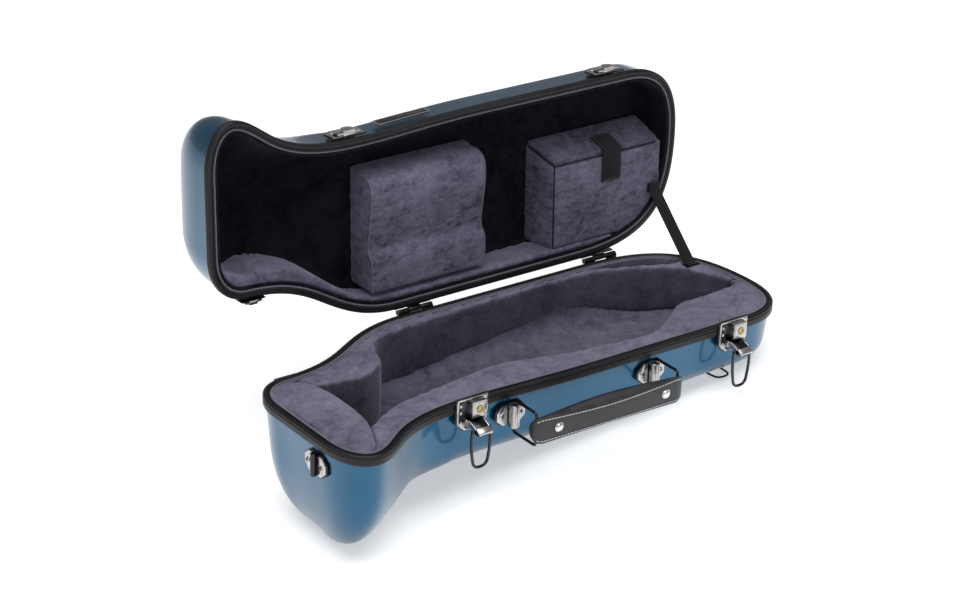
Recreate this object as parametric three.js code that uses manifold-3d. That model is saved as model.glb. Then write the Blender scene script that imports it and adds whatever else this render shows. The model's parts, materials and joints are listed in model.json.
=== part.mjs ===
// Open contoured hard case for a trumpet. Millimetres, +Z up.
// The case is modelled with its rim level (the case frame): X along the case with the bell end at -X,
// Y towards the hinges, z = 0 where the two halves meet. Lid parts are modelled closed and turned open
// about the hinge line. The whole group is then tilted onto the two places the base stands on.
import * as THREE from "three";
import { mergeVertices } from "three/addons/utils/BufferGeometryUtils.js";
import Module from "manifold-3d";

const wasm = await Module();
wasm.setup();

// ---- driving sizes ----
const BODY_DEPTH = 72; // base, under the middle of the case
const END_DEPTH = 60; // base, at the small end
const BELL_DROP = 47; // how much further down the base reaches under the bell
const LID_DEPTH = 50;
const LID_BELL_DEPTH = 91;
const WALL = 2.7; // moulded shell
const GAP = 0.3; // between pieces that touch
const BAND = { base: 10.5, lid: 7 }; // height of the rubber rim bands
const LINER = 4.6; // plush over foam board
const HINGE_Y = 98.4;
const OPEN = THREE.MathUtils.degToRad(92); // lid angle held by the stay strap
const TILT = THREE.MathUtils.degToRad(7); // the deep bell end lifts its end of the case

// Outer edge of the rim, as cubic curves, anticlockwise from the front of the small end.
const RIM = [
  [[215, -96], [258, -96], [280, -72], [280, -25]],
  [[280, -25], [280, 60], [250, 95], [150, 95]],
  [[150, 95], [80, 95], [0, 95], [-70, 95]],
  [[-70, 95], [-110, 95], [-135, 80], [-160, 65]],
  [[-160, 65], [-185, 50], [-205, 43], [-240, 42]],
  [[-240, 42], [-265, 42], [-280, 22], [-280, -5]],
  [[-280, -5], [-280, -30], [-280, -60], [-280, -85]],
  [[-280, -85], [-280, -115], [-268, -134], [-250, -134]],
  [[-250, -134], [-236, -134], [-222, -121], [-207, -111]],
  [[-207, -111], [-180, -94], [-150, -91], [-115, -91]],
  [[-115, -91], [-70, -91], [-30, -96], [40, -96]],
  [[40, -96], [100, -96], [160, -96], [215, -96]],
];
const STATIONS = [-240, -214, -190, -168, -150, -132, -112, -85, -45, 10, 85, 150, 190];
const CENTRE_Y = -24; // height of the spine over the bell end

const root = new THREE.Group();
const caseFrame = new THREE.Group();
const lidFrame = new THREE.Group();
lidFrame.position.y = HINGE_Y;
lidFrame.rotation.x = -OPEN;
root.add(caseFrame);
caseFrame.add(lidFrame);

// ---- materials: each mesh gets its own copy ----
const LOOKS = {
  shell: { color: 0x3f6f8f, roughness: 0.22, metalness: 0.35 },
  rubber: { color: 0x17181a, roughness: 0.75 },
  plush: { color: 0x4a4a60, roughness: 1 },
  steel: { color: 0x77777c, roughness: 0.28, metalness: 1 },
  blackSteel: { color: 0x2a2b2e, roughness: 0.4, metalness: 0.8 },
  brass: { color: 0xb08a3c, roughness: 0.35, metalness: 1 },
  leather: { color: 0x202124, roughness: 0.55 },
  webbing: { color: 0x151618, roughness: 0.95 },
  silver: { color: 0xc9c9cc, roughness: 0.3, metalness: 0.9 },
};

function add(name, geometry, look, frame = caseFrame) {
  const flat = geometry.index ? geometry.toNonIndexed() : geometry;
  flat.computeVertexNormals();
  const mesh = new THREE.Mesh(flat, new THREE.MeshStandardMaterial(LOOKS[look]));
  mesh.name = name;
  const inLid = frame === lidFrame;
  if (inLid) flat.translate(0, -HINGE_Y, 0);
  frame.add(mesh);
  return mesh;
}

// ---- joining and cutting ----
function solid(geometry) {
  const bare = geometry.clone();
  bare.deleteAttribute("normal");
  bare.deleteAttribute("uv");
  const merged = mergeVertices(bare, 1e-4);
  return new wasm.Manifold(
    new wasm.Mesh({
      numProp: 3,
      vertProperties: new Float32Array(merged.attributes.position.array),
      triVerts: new Uint32Array(merged.index.array),
    }),
  );
}

function geometryOf(manifold) {
  const mesh = manifold.getMesh();
  const geometry = new THREE.BufferGeometry();
  geometry.setAttribute("position", new THREE.BufferAttribute(new Float32Array(mesh.vertProperties), 3));
  geometry.setIndex([...mesh.triVerts]);
  return geometry;
}

const union = (first, ...rest) => geometryOf(rest.reduce((all, g) => all.add(solid(g)), solid(first)));
const cut = (first, ...rest) => geometryOf(rest.reduce((all, g) => all.subtract(solid(g)), solid(first)));
const common = (a, b) => geometryOf(solid(a).intersect(solid(b)));

// ---- small shapes ----
function block(x0, x1, y0, y1, z0, z1) {
  const box = new THREE.BoxGeometry(x1 - x0, y1 - y0, z1 - z0);
  return box.translate((x0 + x1) / 2, (y0 + y1) / 2, (z0 + z1) / 2);
}

function outlineShape(points) {
  return new THREE.Shape(points.map(([a, b]) => new THREE.Vector2(a, b)));
}

// A plan outline (x, y) carried from z0 up to z1.
function prism(points, z0, z1) {
  const made = new THREE.ExtrudeGeometry(outlineShape(points), { depth: z1 - z0, bevelEnabled: false });
  return made.translate(0, 0, z0);
}

// A side outline (y, z) carried from x0 to x1.
function sideProfile(points, x0, x1) {
  const made = new THREE.ExtrudeGeometry(outlineShape(points), { depth: x1 - x0, bevelEnabled: false });
  const axes = new THREE.Matrix4().set(0, 0, 1, x0, 1, 0, 0, 0, 0, 1, 0, 0, 0, 0, 0, 1);
  return made.applyMatrix4(axes);
}

// A front outline (x, z) carried from y0 to y1.
function frontProfile(points, y0, y1) {
  const made = new THREE.ExtrudeGeometry(outlineShape(points), { depth: y1 - y0, bevelEnabled: false });
  return made.rotateX(Math.PI / 2).translate(0, y1, 0);
}

function rod(radius, from, to, sides = 12) {
  const a = new THREE.Vector3(...from);
  const b = new THREE.Vector3(...to);
  const made = new THREE.CylinderGeometry(radius, radius, a.distanceTo(b), sides);
  const upright = new THREE.Vector3(0, 1, 0);
  const turn = new THREE.Quaternion().setFromUnitVectors(upright, b.clone().sub(a).normalize());
  return made.applyQuaternion(turn).translate(...a.clone().add(b).multiplyScalar(0.5).toArray());
}

// Points along smooth curves through the given plan points.
function smooth(points, count) {
  const curve = new THREE.SplineCurve(points.map(([a, b]) => new THREE.Vector2(a, b)));
  return curve.getPoints(count).map((p) => [p.x, p.y]);
}

// Joins equal rings of points into one skin. A closed set of rings goes round like a tyre.
function skin(rings, closed) {
  const n = rings[0].length;
  const index = [];
  const last = closed ? rings.length : rings.length - 1;
  for (let r = 0; r < last; r++) {
    const a = r * n;
    const b = ((r + 1) % rings.length) * n;
    for (let i = 0; i < n; i++) {
      const j = (i + 1) % n;
      index.push(a + i, a + j, b + j, a + i, b + j, b + i);
    }
  }
  const geometry = new THREE.BufferGeometry();
  geometry.setAttribute("position", new THREE.Float32BufferAttribute(rings.flat(2), 3));
  geometry.setIndex(index);
  return geometry;
}

// Drops the triangles that have no area, and turns the skin to face outwards.
function tidy(geometry) {
  const merged = mergeVertices(geometry, 1e-3);
  const p = merged.attributes.position;
  const at = (i) => new THREE.Vector3().fromBufferAttribute(p, i);
  const kept = [];
  let volume = 0;
  for (let t = 0; t < merged.index.count; t += 3) {
    const [i, j, k] = [0, 1, 2].map((s) => merged.index.getX(t + s));
    if (i === j || j === k || k === i) continue;
    kept.push([i, j, k]);
    volume += at(i).dot(at(j).cross(at(k)));
  }
  merged.setIndex(kept.flatMap(([i, j, k]) => (volume > 0 ? [i, j, k] : [i, k, j])));
  return merged;
}

// Wire bent to a flat closed loop; place() turns the loop's own (a, b, off-plane) into x, y, z.
function wireLoop(points, radius, place, sides = 6) {
  const n = points.length;
  const rings = points.map(([a, b], i) => {
    const [pa, pb] = points[(i + n - 1) % n];
    const [na, nb] = points[(i + 1) % n];
    const d1 = new THREE.Vector2(a - pa, b - pb).normalize();
    const d2 = new THREE.Vector2(na - a, nb - b).normalize();
    const along = d1.clone().add(d2).normalize();
    const stretch = 1 / Math.max(0.5, along.dot(d1));
    return Array.from({ length: sides }, (_, s) => {
      const turn = (2 * Math.PI * s) / sides;
      const side = radius * Math.cos(turn) * stretch;
      return place(a - along.y * side, b + along.x * side, radius * Math.sin(turn));
    });
  });
  return tidy(skin(rings, true));
}

// Points round a loop of rounded corners, given as (a, b, radius). Tight corners get one facet.
function roundedLoop(corners) {
  const n = corners.length;
  return corners.flatMap(([a, b, radius], i) => {
    const corner = new THREE.Vector2(a, b);
    const towards = ([c, d]) => new THREE.Vector2(c, d).sub(corner).setLength(radius).add(corner);
    const curve = new THREE.QuadraticBezierCurve(
      towards(corners[(i + n - 1) % n]),
      corner,
      towards(corners[(i + 1) % n]),
    );
    return curve.getPoints(radius > 3 ? 3 : 1).map((p) => [p.x, p.y]);
  });
}

// ---- the case outline, as one loop of points that pair up across a spine ----
const edge = RIM.flatMap((corners) => {
  const curve = new THREE.CubicBezierCurve(...corners.map(([a, b]) => new THREE.Vector2(a, b)));
  return curve.getPoints(48).slice(0, 48);
});

const ease = (from, to, x) => THREE.MathUtils.smoothstep((x - from) / (to - from), 0, 1);
const spineY = (x) => CENTRE_Y * (1 - ease(-200, -60, x));

// Where the outline crosses a given x, on the front (side -1) or the hinge side (+1).
function crossing(x, side) {
  for (let i = 0; i < edge.length; i++) {
    const a = edge[i];
    const b = edge[(i + 1) % edge.length];
    const crosses = (a.x - x) * (b.x - x) <= 0 && a.x !== b.x;
    const t = (x - a.x) / (b.x - a.x);
    const y = a.y + t * (b.y - a.y);
    if (crosses && Math.sign(y - spineY(x)) === side) return i + t;
  }
  throw new Error(`the outline does not reach x = ${x}`);
}

function pointAt(place) {
  const i = Math.floor(place);
  const a = edge[i % edge.length];
  const b = edge[(i + 1) % edge.length];
  const p = a.clone().lerp(b, place - i);
  const ahead = edge[(i + 2) % edge.length];
  const behind = edge[(i + edge.length - 1) % edge.length];
  const along = ahead.clone().sub(behind).normalize();
  return { x: p.x, y: p.y, inX: -along.y, inY: along.x };
}

const edgeY = (x, side) => pointAt(crossing(x, side)).y;

function caseLoop() {
  const loop = [];
  const push = (place, spine) => loop.push({ ...pointAt(place), spine });
  const first = STATIONS[0];
  const last = STATIONS[STATIONS.length - 1];
  [...STATIONS].reverse().forEach((x) => push(crossing(x, 1), x));
  const bellFrom = crossing(first, 1);
  const bellTo = crossing(first, -1);
  for (let i = 1; i < 14; i++) push(bellFrom + ((bellTo - bellFrom) * i) / 14, first);
  STATIONS.forEach((x) => push(crossing(x, -1), x));
  const endFrom = crossing(last, -1);
  const endTo = crossing(last, 1) + edge.length;
  for (let i = 1; i < 11; i++) push(endFrom + ((endTo - endFrom) * i) / 11, last);
  return loop;
}
const LOOP = caseLoop();

// Depth below the rim, and the corner between wall and bottom, along the case.
const baseForm = {
  draft: 4, // how far the wall leans in above its corner
  depth: (x) => END_DEPTH + ((BODY_DEPTH - END_DEPTH) * (270 - x)) / 370 + BELL_DROP * ease(-125, -206, x),
  cornerIn: (x) => 24 + 47 * ease(-130, -180, x),
  cornerUp: (x) => 24 + 58 * ease(-130, -183, x),
};
const lidForm = {
  draft: 1,
  depth: (x) => LID_DEPTH + (LID_BELL_DEPTH - LID_DEPTH) * ease(-110, -205, x),
  cornerIn: (x) => 13 + 63 * ease(-130, -205, x),
  cornerUp: (x) => 14 + 51 * ease(-120, -205, x),
};

// Rings of the bowl-shaped half, from its top edge down to the spine. `inset` moves the wall in and
// `rise` lifts the bottom; up is +1 for the lid, which bulges upwards, and -1 for the base.
function bowl(form, up, inset, rise, top, steps = 4) {
  const start = LOOP.map((p) => ({ ...p, x: p.x + p.inX * inset, y: p.y + p.inY * inset }));
  const reach = start.map((p) => Math.hypot(p.spine - p.x, spineY(p.spine) - p.y));
  const ringAt = (inward, down) =>
    start.map((p, i) => {
      const step = inward(p, i) / reach[i];
      const x = p.x + (p.spine - p.x) * step;
      const y = p.y + (spineY(p.spine) - p.y) * step;
      return [x, y, up * down(p, form.depth(x) - rise)];
    });
  const corner = (p, i) => Math.min(form.cornerIn(p.x), reach[i] - form.draft - 2);
  const rings = [ringAt(() => 0, () => top)];
  for (let s = 0; s <= steps; s++) {
    const turn = (Math.PI / 2) * (s / steps);
    rings.push(
      ringAt(
        (p, i) => form.draft + corner(p, i) * (1 - Math.cos(turn)),
        (p, depth) => depth - form.cornerUp(p.x) * (1 - Math.sin(turn)),
      ),
    );
  }
  rings.push(ringAt((p, i) => reach[i], (p, depth) => depth));
  return rings;
}

// A shell of even thickness: the outer bowl, joined at the rim to an inner one.
function bowlShell(form, up, inset, rise, thickness, top) {
  const outer = bowl(form, up, inset, rise, top);
  const inner = bowl(form, up, inset + thickness, rise + thickness, top);
  return tidy(skin([...outer.reverse(), ...inner], false));
}

// The same bowl filled in, closed by a flat top.
function bowlBlock(form, up, inset, rise, top) {
  const rings = bowl(form, up, inset, rise, top);
  const wall = skin(rings, false);
  const flat = rings[0].map(([x, y]) => new THREE.Vector2(x, y));
  const index = [...wall.index.array];
  THREE.ShapeUtils.triangulateShape(flat, []).forEach(([i, j, k]) => index.push(i, k, j));
  wall.setIndex(index);
  return tidy(wall);
}

// The rubber band: a channel that grips the shell's edge, in (inset, height) corners.
function rimBand(up, height) {
  const lip = 6.8;
  const section = [
    [0, 0.2],
    [lip, 0.2],
    [lip, 6],
    [lip - 1.1, 6],
    [lip - 1.1, 3.2],
    [2, 3.2],
    [2, height],
    [0, height],
  ];
  const rings = section.map(([inset, at]) =>
    LOOP.map((p) => [p.x + p.inX * inset, p.y + p.inY * inset, up * at]),
  );
  return tidy(skin(rings, true));
}

// ---- halves ----
const SHELL_IN = 2 + GAP;
const LINER_IN = 7.4;
const FOAM_IN = LINER_IN + LINER + GAP;
const LINER_RISE = WALL + 1.2;
const FOAM_RISE = LINER_RISE + LINER + GAP;

for (const [name, form, up, frame] of [["base", baseForm, -1, caseFrame], ["lid", lidForm, 1, lidFrame]]) {
  add(`${name}_shell`, bowlShell(form, up, SHELL_IN, 0, WALL, 3.6), "shell", frame);
  add(`${name}_rim`, rimBand(up, BAND[name]), "rubber", frame);
  add(`${name}_liner`, bowlShell(form, up, LINER_IN, LINER_RISE, LINER, 1.5), "plush", frame);
}

// ---- padding of the base ----
// The space for the trumpet: a deep slot for the bell, open to the long main cavity.
const bellPadEdge = smooth(
  [[-248, 52], [-241, 39], [-228, 27], [-220, 10], [-216, -15], [-218, -50], [-223, -75], [-236, -106], [-250, -125]],
  14,
);
const slotRear = smooth(
  [[-236, 40], [-230, 20], [-217, 10], [-200, 4], [-184, 3], [-167, 7], [-152, 14], [-142, 22], [-137, 34],
    [-133, 46], [-127, 57], [-115, 66], [-100, 70]],
  24,
);
const rearEdge = smooth(
  [[-100, 70], [-40, 74], [40, 77], [120, 79], [165, 74], [204, 58], [241, 36], [262, -8]],
  16,
);
const frontEdge = smooth(
  [[262, -24], [212, -28], [182, -29], [155, -46], [119, -66], [76, -65], [34, -60], [9, -55], [-19, -47],
    [-49, -41], [-85, -40], [-122, -42], [-154, -48], [-176, -56], [-202, -68], [-222, -80]],
  26,
);
const cavity = [[-226, -76], [-222, -20], [-239, 44], ...slotRear, ...rearEdge, ...frontEdge];
const pocketPlan = smooth(
  [[160, 86], [177, 76], [206, 65.5], [234, 52.5], [249, 51], [247, 63], [226, 76], [196, 85], [160, 86]],
  16,
);

const foam = () => bowlBlock(baseForm, -1, FOAM_IN, FOAM_RISE, 2.5);
const bellPadPlan = [[-300, 80], ...bellPadEdge, [-300, -150]];
const gapPlan = [[-300, 80], ...bellPadEdge.map(([x, y]) => [x + 0.5, y]), [-300, -150]];
const TALL = 200;
add("bell_end_pad", common(foam(), prism(bellPadPlan, -TALL, 0)), "plush");

const bolsters = cut(foam(), prism(cavity, -TALL, 10), prism(gapPlan, -TALL, 10));
const frontHalf = [[-260, -150], [300, -150], [300, -14.4], [240, -14.4], [0, -30], [-200, -60], [-235, -68]];
const rearHalf = [[-260, 110], [-260, 20], [-150, 0], [0, 20], [240, -14], [300, -14], [300, 110]];
add("front_bolster", common(bolsters, prism(frontHalf, -TALL, 10)), "plush");
const rearBolster = common(bolsters, prism(rearHalf, -TALL, 10));
add("rear_bolster", cut(rearBolster, prism(pocketPlan.slice(0, -1), -34, 10)), "plush");

// ---- padding of the lid ----
const lidFoam = () => bowlBlock(lidForm, 1, FOAM_IN + 0.4, FOAM_RISE + 0.4, 1.5);
const hingePadEdge = smooth(
  [[-262, 12], [-244, 21], [-225, 20], [-204, 22], [-178, 30], [-161, 40], [-140, 56], [-120, 70], [-100, 76],
    [-80, 77.3], [150, 77.5]],
  26,
);
const hingePadPlan = [[-300, 6], ...hingePadEdge, [300, 77.5], [300, 120], [-300, 120]];
add("lid_hinge_pad", common(lidFoam(), prism(hingePadPlan, 0, TALL)), "plush", lidFrame);

const braceSide = [
  [-50, 60],
  ...[[-48.5, 34], [-46, 20], [-42, 9], [-34, 3.5], [-18, 3], [2, 5.5], [24, 9], [33, 8.5], [39, 4], [46, 2.2]],
  [73, 2.2],
  [73, 60],
];
const braceBar = sideProfile(braceSide, -99, 37);
add("lid_brace_pad", common(lidFoam(), braceBar), "plush", lidFrame);

// Accessory box: a front panel and a side panel against the lid, with a flap that opens upwards.
const BOX = { left: 123, right: 262, top: -12, bottom: 77, front: 3, panel: 6 };
const boxLeft = (z) => BOX.left - 0.21 * (z - BOX.front); // both slope outwards going back into the lid
const boxTop = (z) => BOX.top - 0.395 * (z - BOX.front);

// The room in front of the lid's back, between two heights, right of the box's slanted left side.
function boxRoom(z0, z1, inset) {
  const outline = [[boxLeft(z0) + inset, z0], [BOX.right, z0], [BOX.right, z1], [boxLeft(z1) + inset, z1]];
  return frontProfile(outline, -80, 120);
}
const boxSide = [[boxTop(BOX.front), BOX.front], [BOX.bottom, BOX.front], [BOX.bottom, 60], [boxTop(60), 60]];
const boxOuter = common(boxRoom(BOX.front, 60, 0), sideProfile(boxSide, 100, BOX.right));
const boxInner = boxRoom(BOX.front + BOX.panel, 100, BOX.panel).translate(0.01, 0, 0);
add("accessory_box", cut(common(lidFoam(), boxOuter), boxInner), "plush", lidFrame);

// The flap closes the box's top; its shape keeps clear of the lid's lining as it folds out.
const FLAP = { near: 0.4, far: 5.4, clear: 9.5, deep: 40 };
const flapSide = [
  [boxTop(BOX.front) - FLAP.near, BOX.front],
  [boxTop(FLAP.deep) - FLAP.near, FLAP.deep],
  [boxTop(FLAP.deep) - FLAP.far, FLAP.deep],
  [boxTop(BOX.front) - FLAP.far, BOX.front],
];
const flapBar = common(sideProfile(flapSide, 100, BOX.right), boxRoom(BOX.front, 60, 0));
add("accessory_flap", common(lidFoam().translate(-FLAP.clear, 0, 0), flapBar), "plush", lidFrame);

// Its tab lies over the flap's face and hooks down over the front of the box.
const TAB = { off: FLAP.far + GAP, thick: 1.5, under: 1, reach: 16, up: 22 };
const tabSide = [
  [boxTop(TAB.up) - TAB.off - TAB.thick, TAB.up],
  [boxTop(TAB.under) - TAB.off - TAB.thick, TAB.under],
  [TAB.reach, TAB.under],
  [TAB.reach, TAB.under + TAB.thick],
  [boxTop(TAB.under + TAB.thick) - TAB.off, TAB.under + TAB.thick],
  [boxTop(TAB.up) - TAB.off, TAB.up],
];
add("accessory_tab", sideProfile(tabSide, 184, 208), "webbing", lidFrame);

// ---- hinges ----
function hinge(name, x) {
  const half = 21;
  const radius = 2.6;
  const knuckle = half / 1.5;
  const leafIn = HINGE_Y - radius - 0.5;
  const bore = rod(1.3, [x - half - 1, HINGE_Y, 0], [x + half + 1, HINGE_Y, 0], 8);
  const leaf = (up, spans) => {
    const plate = block(x - half, x + half, leafIn, leafIn + 1.2, ...(up > 0 ? [3.1, 15] : [-15, -3.1]));
    const tabs = spans.flatMap(([a, b]) => [
      block(a, b, leafIn, leafIn + 1.2, ...(up > 0 ? [0.2, 4] : [-4, -0.2])),
      rod(radius, [a, HINGE_Y, 0], [b, HINGE_Y, 0], 12),
    ]);
    return cut(union(plate, ...tabs), bore);
  };
  const inner = knuckle / 2;
  add(`${name}_base_leaf`, leaf(-1, [[x - half, x - inner - GAP], [x + inner + GAP, x + half]]), "steel");
  add(`${name}_lid_leaf`, leaf(1, [[x - inner, x + inner]]), "steel", lidFrame);
  add(`${name}_pin`, rod(1, [x - half, HINGE_Y, 0], [x + half, HINGE_Y, 0], 8), "steel");
}
hinge("hinge_left", -51);
hinge("hinge_right", 182);

// ---- latches: local x along the wall, -y outwards, z as in the case ----
const PIVOT = [-6, -23.5]; // lever axis (y, z)
const BAIL_AXIS = [-16.5, -26.5];
const BAIL_LENGTH = 40;
const LATCH_UP = 5; // the latches reach past the rim, over the seam between the halves
const BELL_LATCH = { size: 0.7, up: -2 };

function latch(name, x, side, keyed, size = 1, up = LATCH_UP) {
  const y = wallReach(x, 20 * size, side) + side * 2 * GAP;
  const turn = side > 0 ? Math.PI : 0;
  const place = (geometry) => geometry.scale(size, size, size).rotateZ(turn).translate(x, y, up);
  const bore = (radius, [py, pz]) => rod(radius, [-14, py, pz], [14, py, pz], 8);

  const face = [[-17, -0.6], [-17, -25], [-9, -33], [9, -33], [17, -25], [17, -0.6]];
  const spacer = block(-13, 13, -1, 2, -31, -16);
  const ear = (x0) => block(x0, x0 + 1.6, -8.5, -1, -27, -20);
  const plate = union(frontProfile(face, -1.8, 0), spacer, ear(-10.2), ear(8.6));
  add(`${name}_plate`, place(cut(plate, bore(1.5, PIVOT))), "steel");

  const armTop = [[-3.4, -26], [-3.4, -21], [-8, -20.5], [-16, -23.4], [-23.5, -27.5]];
  const arm = [...armTop, [-24, -29.5], [-17, -30], [-9, -27]];
  const lever = sideProfile(arm, -8.2, 8.2);
  add(`${name}_lever`, place(cut(lever, bore(1.5, PIVOT), bore(1.75, BAIL_AXIS))), "steel");
  add(`${name}_lever_pin`, place(rod(1.15, [-11, ...PIVOT], [11, ...PIVOT], 8)), "steel");

  const corners = [[-10, 0, 1.3], [10, 0, 1.3], [7.5, -BAIL_LENGTH, 5], [-7.5, -BAIL_LENGTH, 5]];
  const bend = (a, b, off) => [a, BAIL_AXIS[0] + off, BAIL_AXIS[1] + b];
  add(`${name}_bail`, place(wireLoop(roundedLoop(corners), 1.3, bend)), "blackSteel");

  if (keyed) {
    const bolt = [3, -10.5];
    const housing = block(-5, 11, -9.5, -1.8 - GAP, -18.8, -2.6);
    const well = rod(3.3, [bolt[0], -12, bolt[1]], [bolt[0], -5.5, bolt[1]]);
    add(`${name}_lock`, place(cut(housing, well)), "steel");
    const barrel = rod(2.9, [bolt[0], -10, bolt[1]], [bolt[0], -6, bolt[1]]);
    const slot = block(bolt[0] - 0.5, bolt[0] + 0.5, -11, -8, bolt[1] - 1.8, bolt[1] + 1.8);
    add(`${name}_lock_barrel`, place(cut(barrel, slot)), "brass");
  }

  // The keeper on the lid: a plate with a hooked lip that the bail's far end drops behind.
  const keeperFace = [[-19, 1], [19, 1], [19, 17], [12, 23], [-12, 23], [-19, 17]];
  const hook = [[-1, 1.6], [-6.2, 1.6], [-7.4, 3.6], [-7.4, 9], [-6.2, 9], [-5.2, 3.8], [-1, 3.8]];
  const keeperSpacer = block(-14, 14, -1, 2, 15.2, 21);
  const keeper = union(frontProfile(keeperFace, -1.8, 0), keeperSpacer, sideProfile(hook, -7, 7));
  add(`${name}_keeper`, place(keeper), "blackSteel", lidFrame);
}

// How far out the rim reaches under a plate of the given half width.
function wallReach(x, half, side) {
  const reach = [-half, -half / 2, 0, half / 2, half].map((d) => edgeY(x + d, side));
  return side > 0 ? Math.max(...reach) : Math.min(...reach);
}

latch("latch_left", -121, -1, true);
latch("latch_right", 193, -1, true);
latch("latch_bell", -235, 1, false, BELL_LATCH.size, BELL_LATCH.up);

// ---- ring lugs: an eight-sided plate with a barrel for a wire ring ----
const LUG_Z = -27;
const BARREL = 7; // barrel axis, in front of the plate's back

function lugGeometry(out = BARREL, radius = 4.2, bore = 1.9) {
  const face = [[-17, -4.5], [-10, -10.5], [10, -10.5], [17, -4.5], [17, 4.5], [10, 10.5], [-10, 10.5], [-17, 4.5]];
  const parts = [
    frontProfile(face, -2, 0),
    block(-radius * 0.7, radius * 0.7, -out, -1, -11.5, 11.5),
    rod(radius, [0, -out, -11.5], [0, -out, 11.5]),
    rod(2.6, [-11, -3.2, 0], [-11, -1, 0], 8),
    rod(2.6, [11, -3.2, 0], [11, -1, 0], 8),
  ];
  return cut(union(...parts), rod(bore, [0, -out, -13], [0, -out, 13], 8));
}

const shellSide = (x) => wallReach(x, 19, -1) + SHELL_IN + 0.1;
const LEFT_LUG = [-74.5, shellSide(-74.5)];
const RIGHT_LUG = [92.5, shellSide(92.5)];
add("handle_lug_left", lugGeometry().translate(LEFT_LUG[0], LEFT_LUG[1], LUG_Z), "steel");
add("handle_lug_right", lugGeometry().translate(RIGHT_LUG[0], RIGHT_LUG[1], LUG_Z), "steel");
const endLug = lugGeometry(4.2, 2.6, 1.3).rotateZ(-Math.PI / 2).translate(-280 + SHELL_IN - 0.1, -75, LUG_Z);
add("bell_end_lug", endLug, "steel");

// ---- carrying handle ----
const RING_OUT = 33;
const RING_HALF = 16.5;

function handleRing(name, [x, y]) {
  const axisY = y - BARREL;
  const turn = 2.2;
  const corners = [
    [0, RING_HALF, turn],
    [0, -RING_HALF, turn],
    [-RING_OUT, -RING_HALF, turn],
    [-RING_OUT, RING_HALF, turn],
  ];
  const bend = (a, b, off) => [x + off, axisY + a, LUG_Z + b];
  add(name, wireLoop(roundedLoop(corners), 1.5, bend), "blackSteel");
}
handleRing("handle_ring_left", LEFT_LUG);
handleRing("handle_ring_right", RIGHT_LUG);

const GRIP_FROM = [LEFT_LUG[0], LEFT_LUG[1] - BARREL - RING_OUT];
const GRIP_TO = [RIGHT_LUG[0], RIGHT_LUG[1] - BARREL - RING_OUT];

const GRIP_OVER = 4.5; // grip past each ring
const GRIP_SPAN = GRIP_TO[0] - GRIP_FROM[0];

// Cross-section of the grip at a fraction s of its length: fuller in the hand, deeper by the rivets.
function gripSection(s) {
  const waist = Math.sin(Math.PI * s) ** 2;
  const thick = 5 + 5.5 * waist ** 0.7;
  const x = (GRIP_SPAN + 2 * GRIP_OVER) * s - GRIP_OVER;
  return { x, y: 2 * waist, z: 0, thick, high: 12.2 + 2.2 * (2 * s - 1) ** 2 };
}

function gripGeometry() {
  const count = 14;
  const front = [[-1, 0.55], [-1, -0.55]];
  const round = [front[1], [-0.75, -1], [0.6, -1], [1, -0.6], [1, 0.6], [0.6, 1], [-0.75, 1], front[0]];
  const rings = [];
  for (let i = 0; i <= count; i++) {
    const at = gripSection((1 - Math.cos((Math.PI * i) / count)) / 2);
    rings.push(round.map(([a, b]) => [at.x, at.y + a * at.thick, at.z + b * at.high]));
  }
  const wall = skin(rings, false);
  const index = [...wall.index.array];
  const n = rings[0].length;
  const end = (rings.length - 1) * n;
  for (let i = 1; i < n - 1; i++) index.push(0, i + 1, i, end, end + i, end + i + 1);
  wall.setIndex(index);
  const bores = [0, GRIP_SPAN].map((x) => rod(2.1, [x, 0, -30], [x, 0, 30], 8));
  return cut(tidy(wall), ...bores);
}
const GRIP_SLANT = Math.atan2(GRIP_TO[1] - GRIP_FROM[1], GRIP_SPAN);
const alongGrip = (geometry) => geometry.rotateZ(GRIP_SLANT).translate(...GRIP_FROM, LUG_Z);
add("handle_grip", alongGrip(gripGeometry()), "leather");

// Dome rivets through the leather, in front of each ring.
for (const [name, s] of [["grip_rivet_left", 0.15], ["grip_rivet_right", 0.87]]) {
  const at = gripSection(s);
  const profile = [[0, 0], [4.2, 0], [4, 0.9], [2.4, 2], [0, 2.4]].map(([r, h]) => new THREE.Vector2(r, h));
  const dome = new THREE.LatheGeometry(profile, 12).rotateX(Math.PI);
  add(name, alongGrip(dome.translate(at.x, at.y - at.thick - 0.6, at.z)), "silver");
}

// ---- strap point under the small end ----
const UNDER = { x: 200, y: -56 };
const underZ = (x) => -baseForm.depth(x) - 0.3;
function underLug() {
  const plate = block(-11, 11, -9, 9, -1.6, 0);
  const ears = [block(-8, -5.6, -6, -1, -5.4, -1), block(5.6, 8, -6, -1, -5.4, -1)];
  const drilled = cut(union(plate, ...ears), rod(1.6, [-12, -3.5, -3.4], [12, -3.5, -3.4], 8));
  const slope = Math.atan((BODY_DEPTH - END_DEPTH) / 370);
  return drilled.rotateY(-slope).translate(UNDER.x, UNDER.y, underZ(UNDER.x));
}
add("under_lug", underLug(), "steel");
const dCorners = [[-10, 0, 1.2], [10, 0, 1.2], [8.4, -24, 7], [-8.4, -24, 7]];
const dBend = (a, b, off) => [UNDER.x + a, UNDER.y - 3.5 + b, underZ(UNDER.x) - 3.4 + off];
add("under_ring", wireLoop(roundedLoop(dCorners), 1.1, dBend), "blackSteel");

// ---- stay strap at the small end ----
const STRAP = { x0: 246, x1: 260, y: 36, clear: 3.4 };

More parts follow.
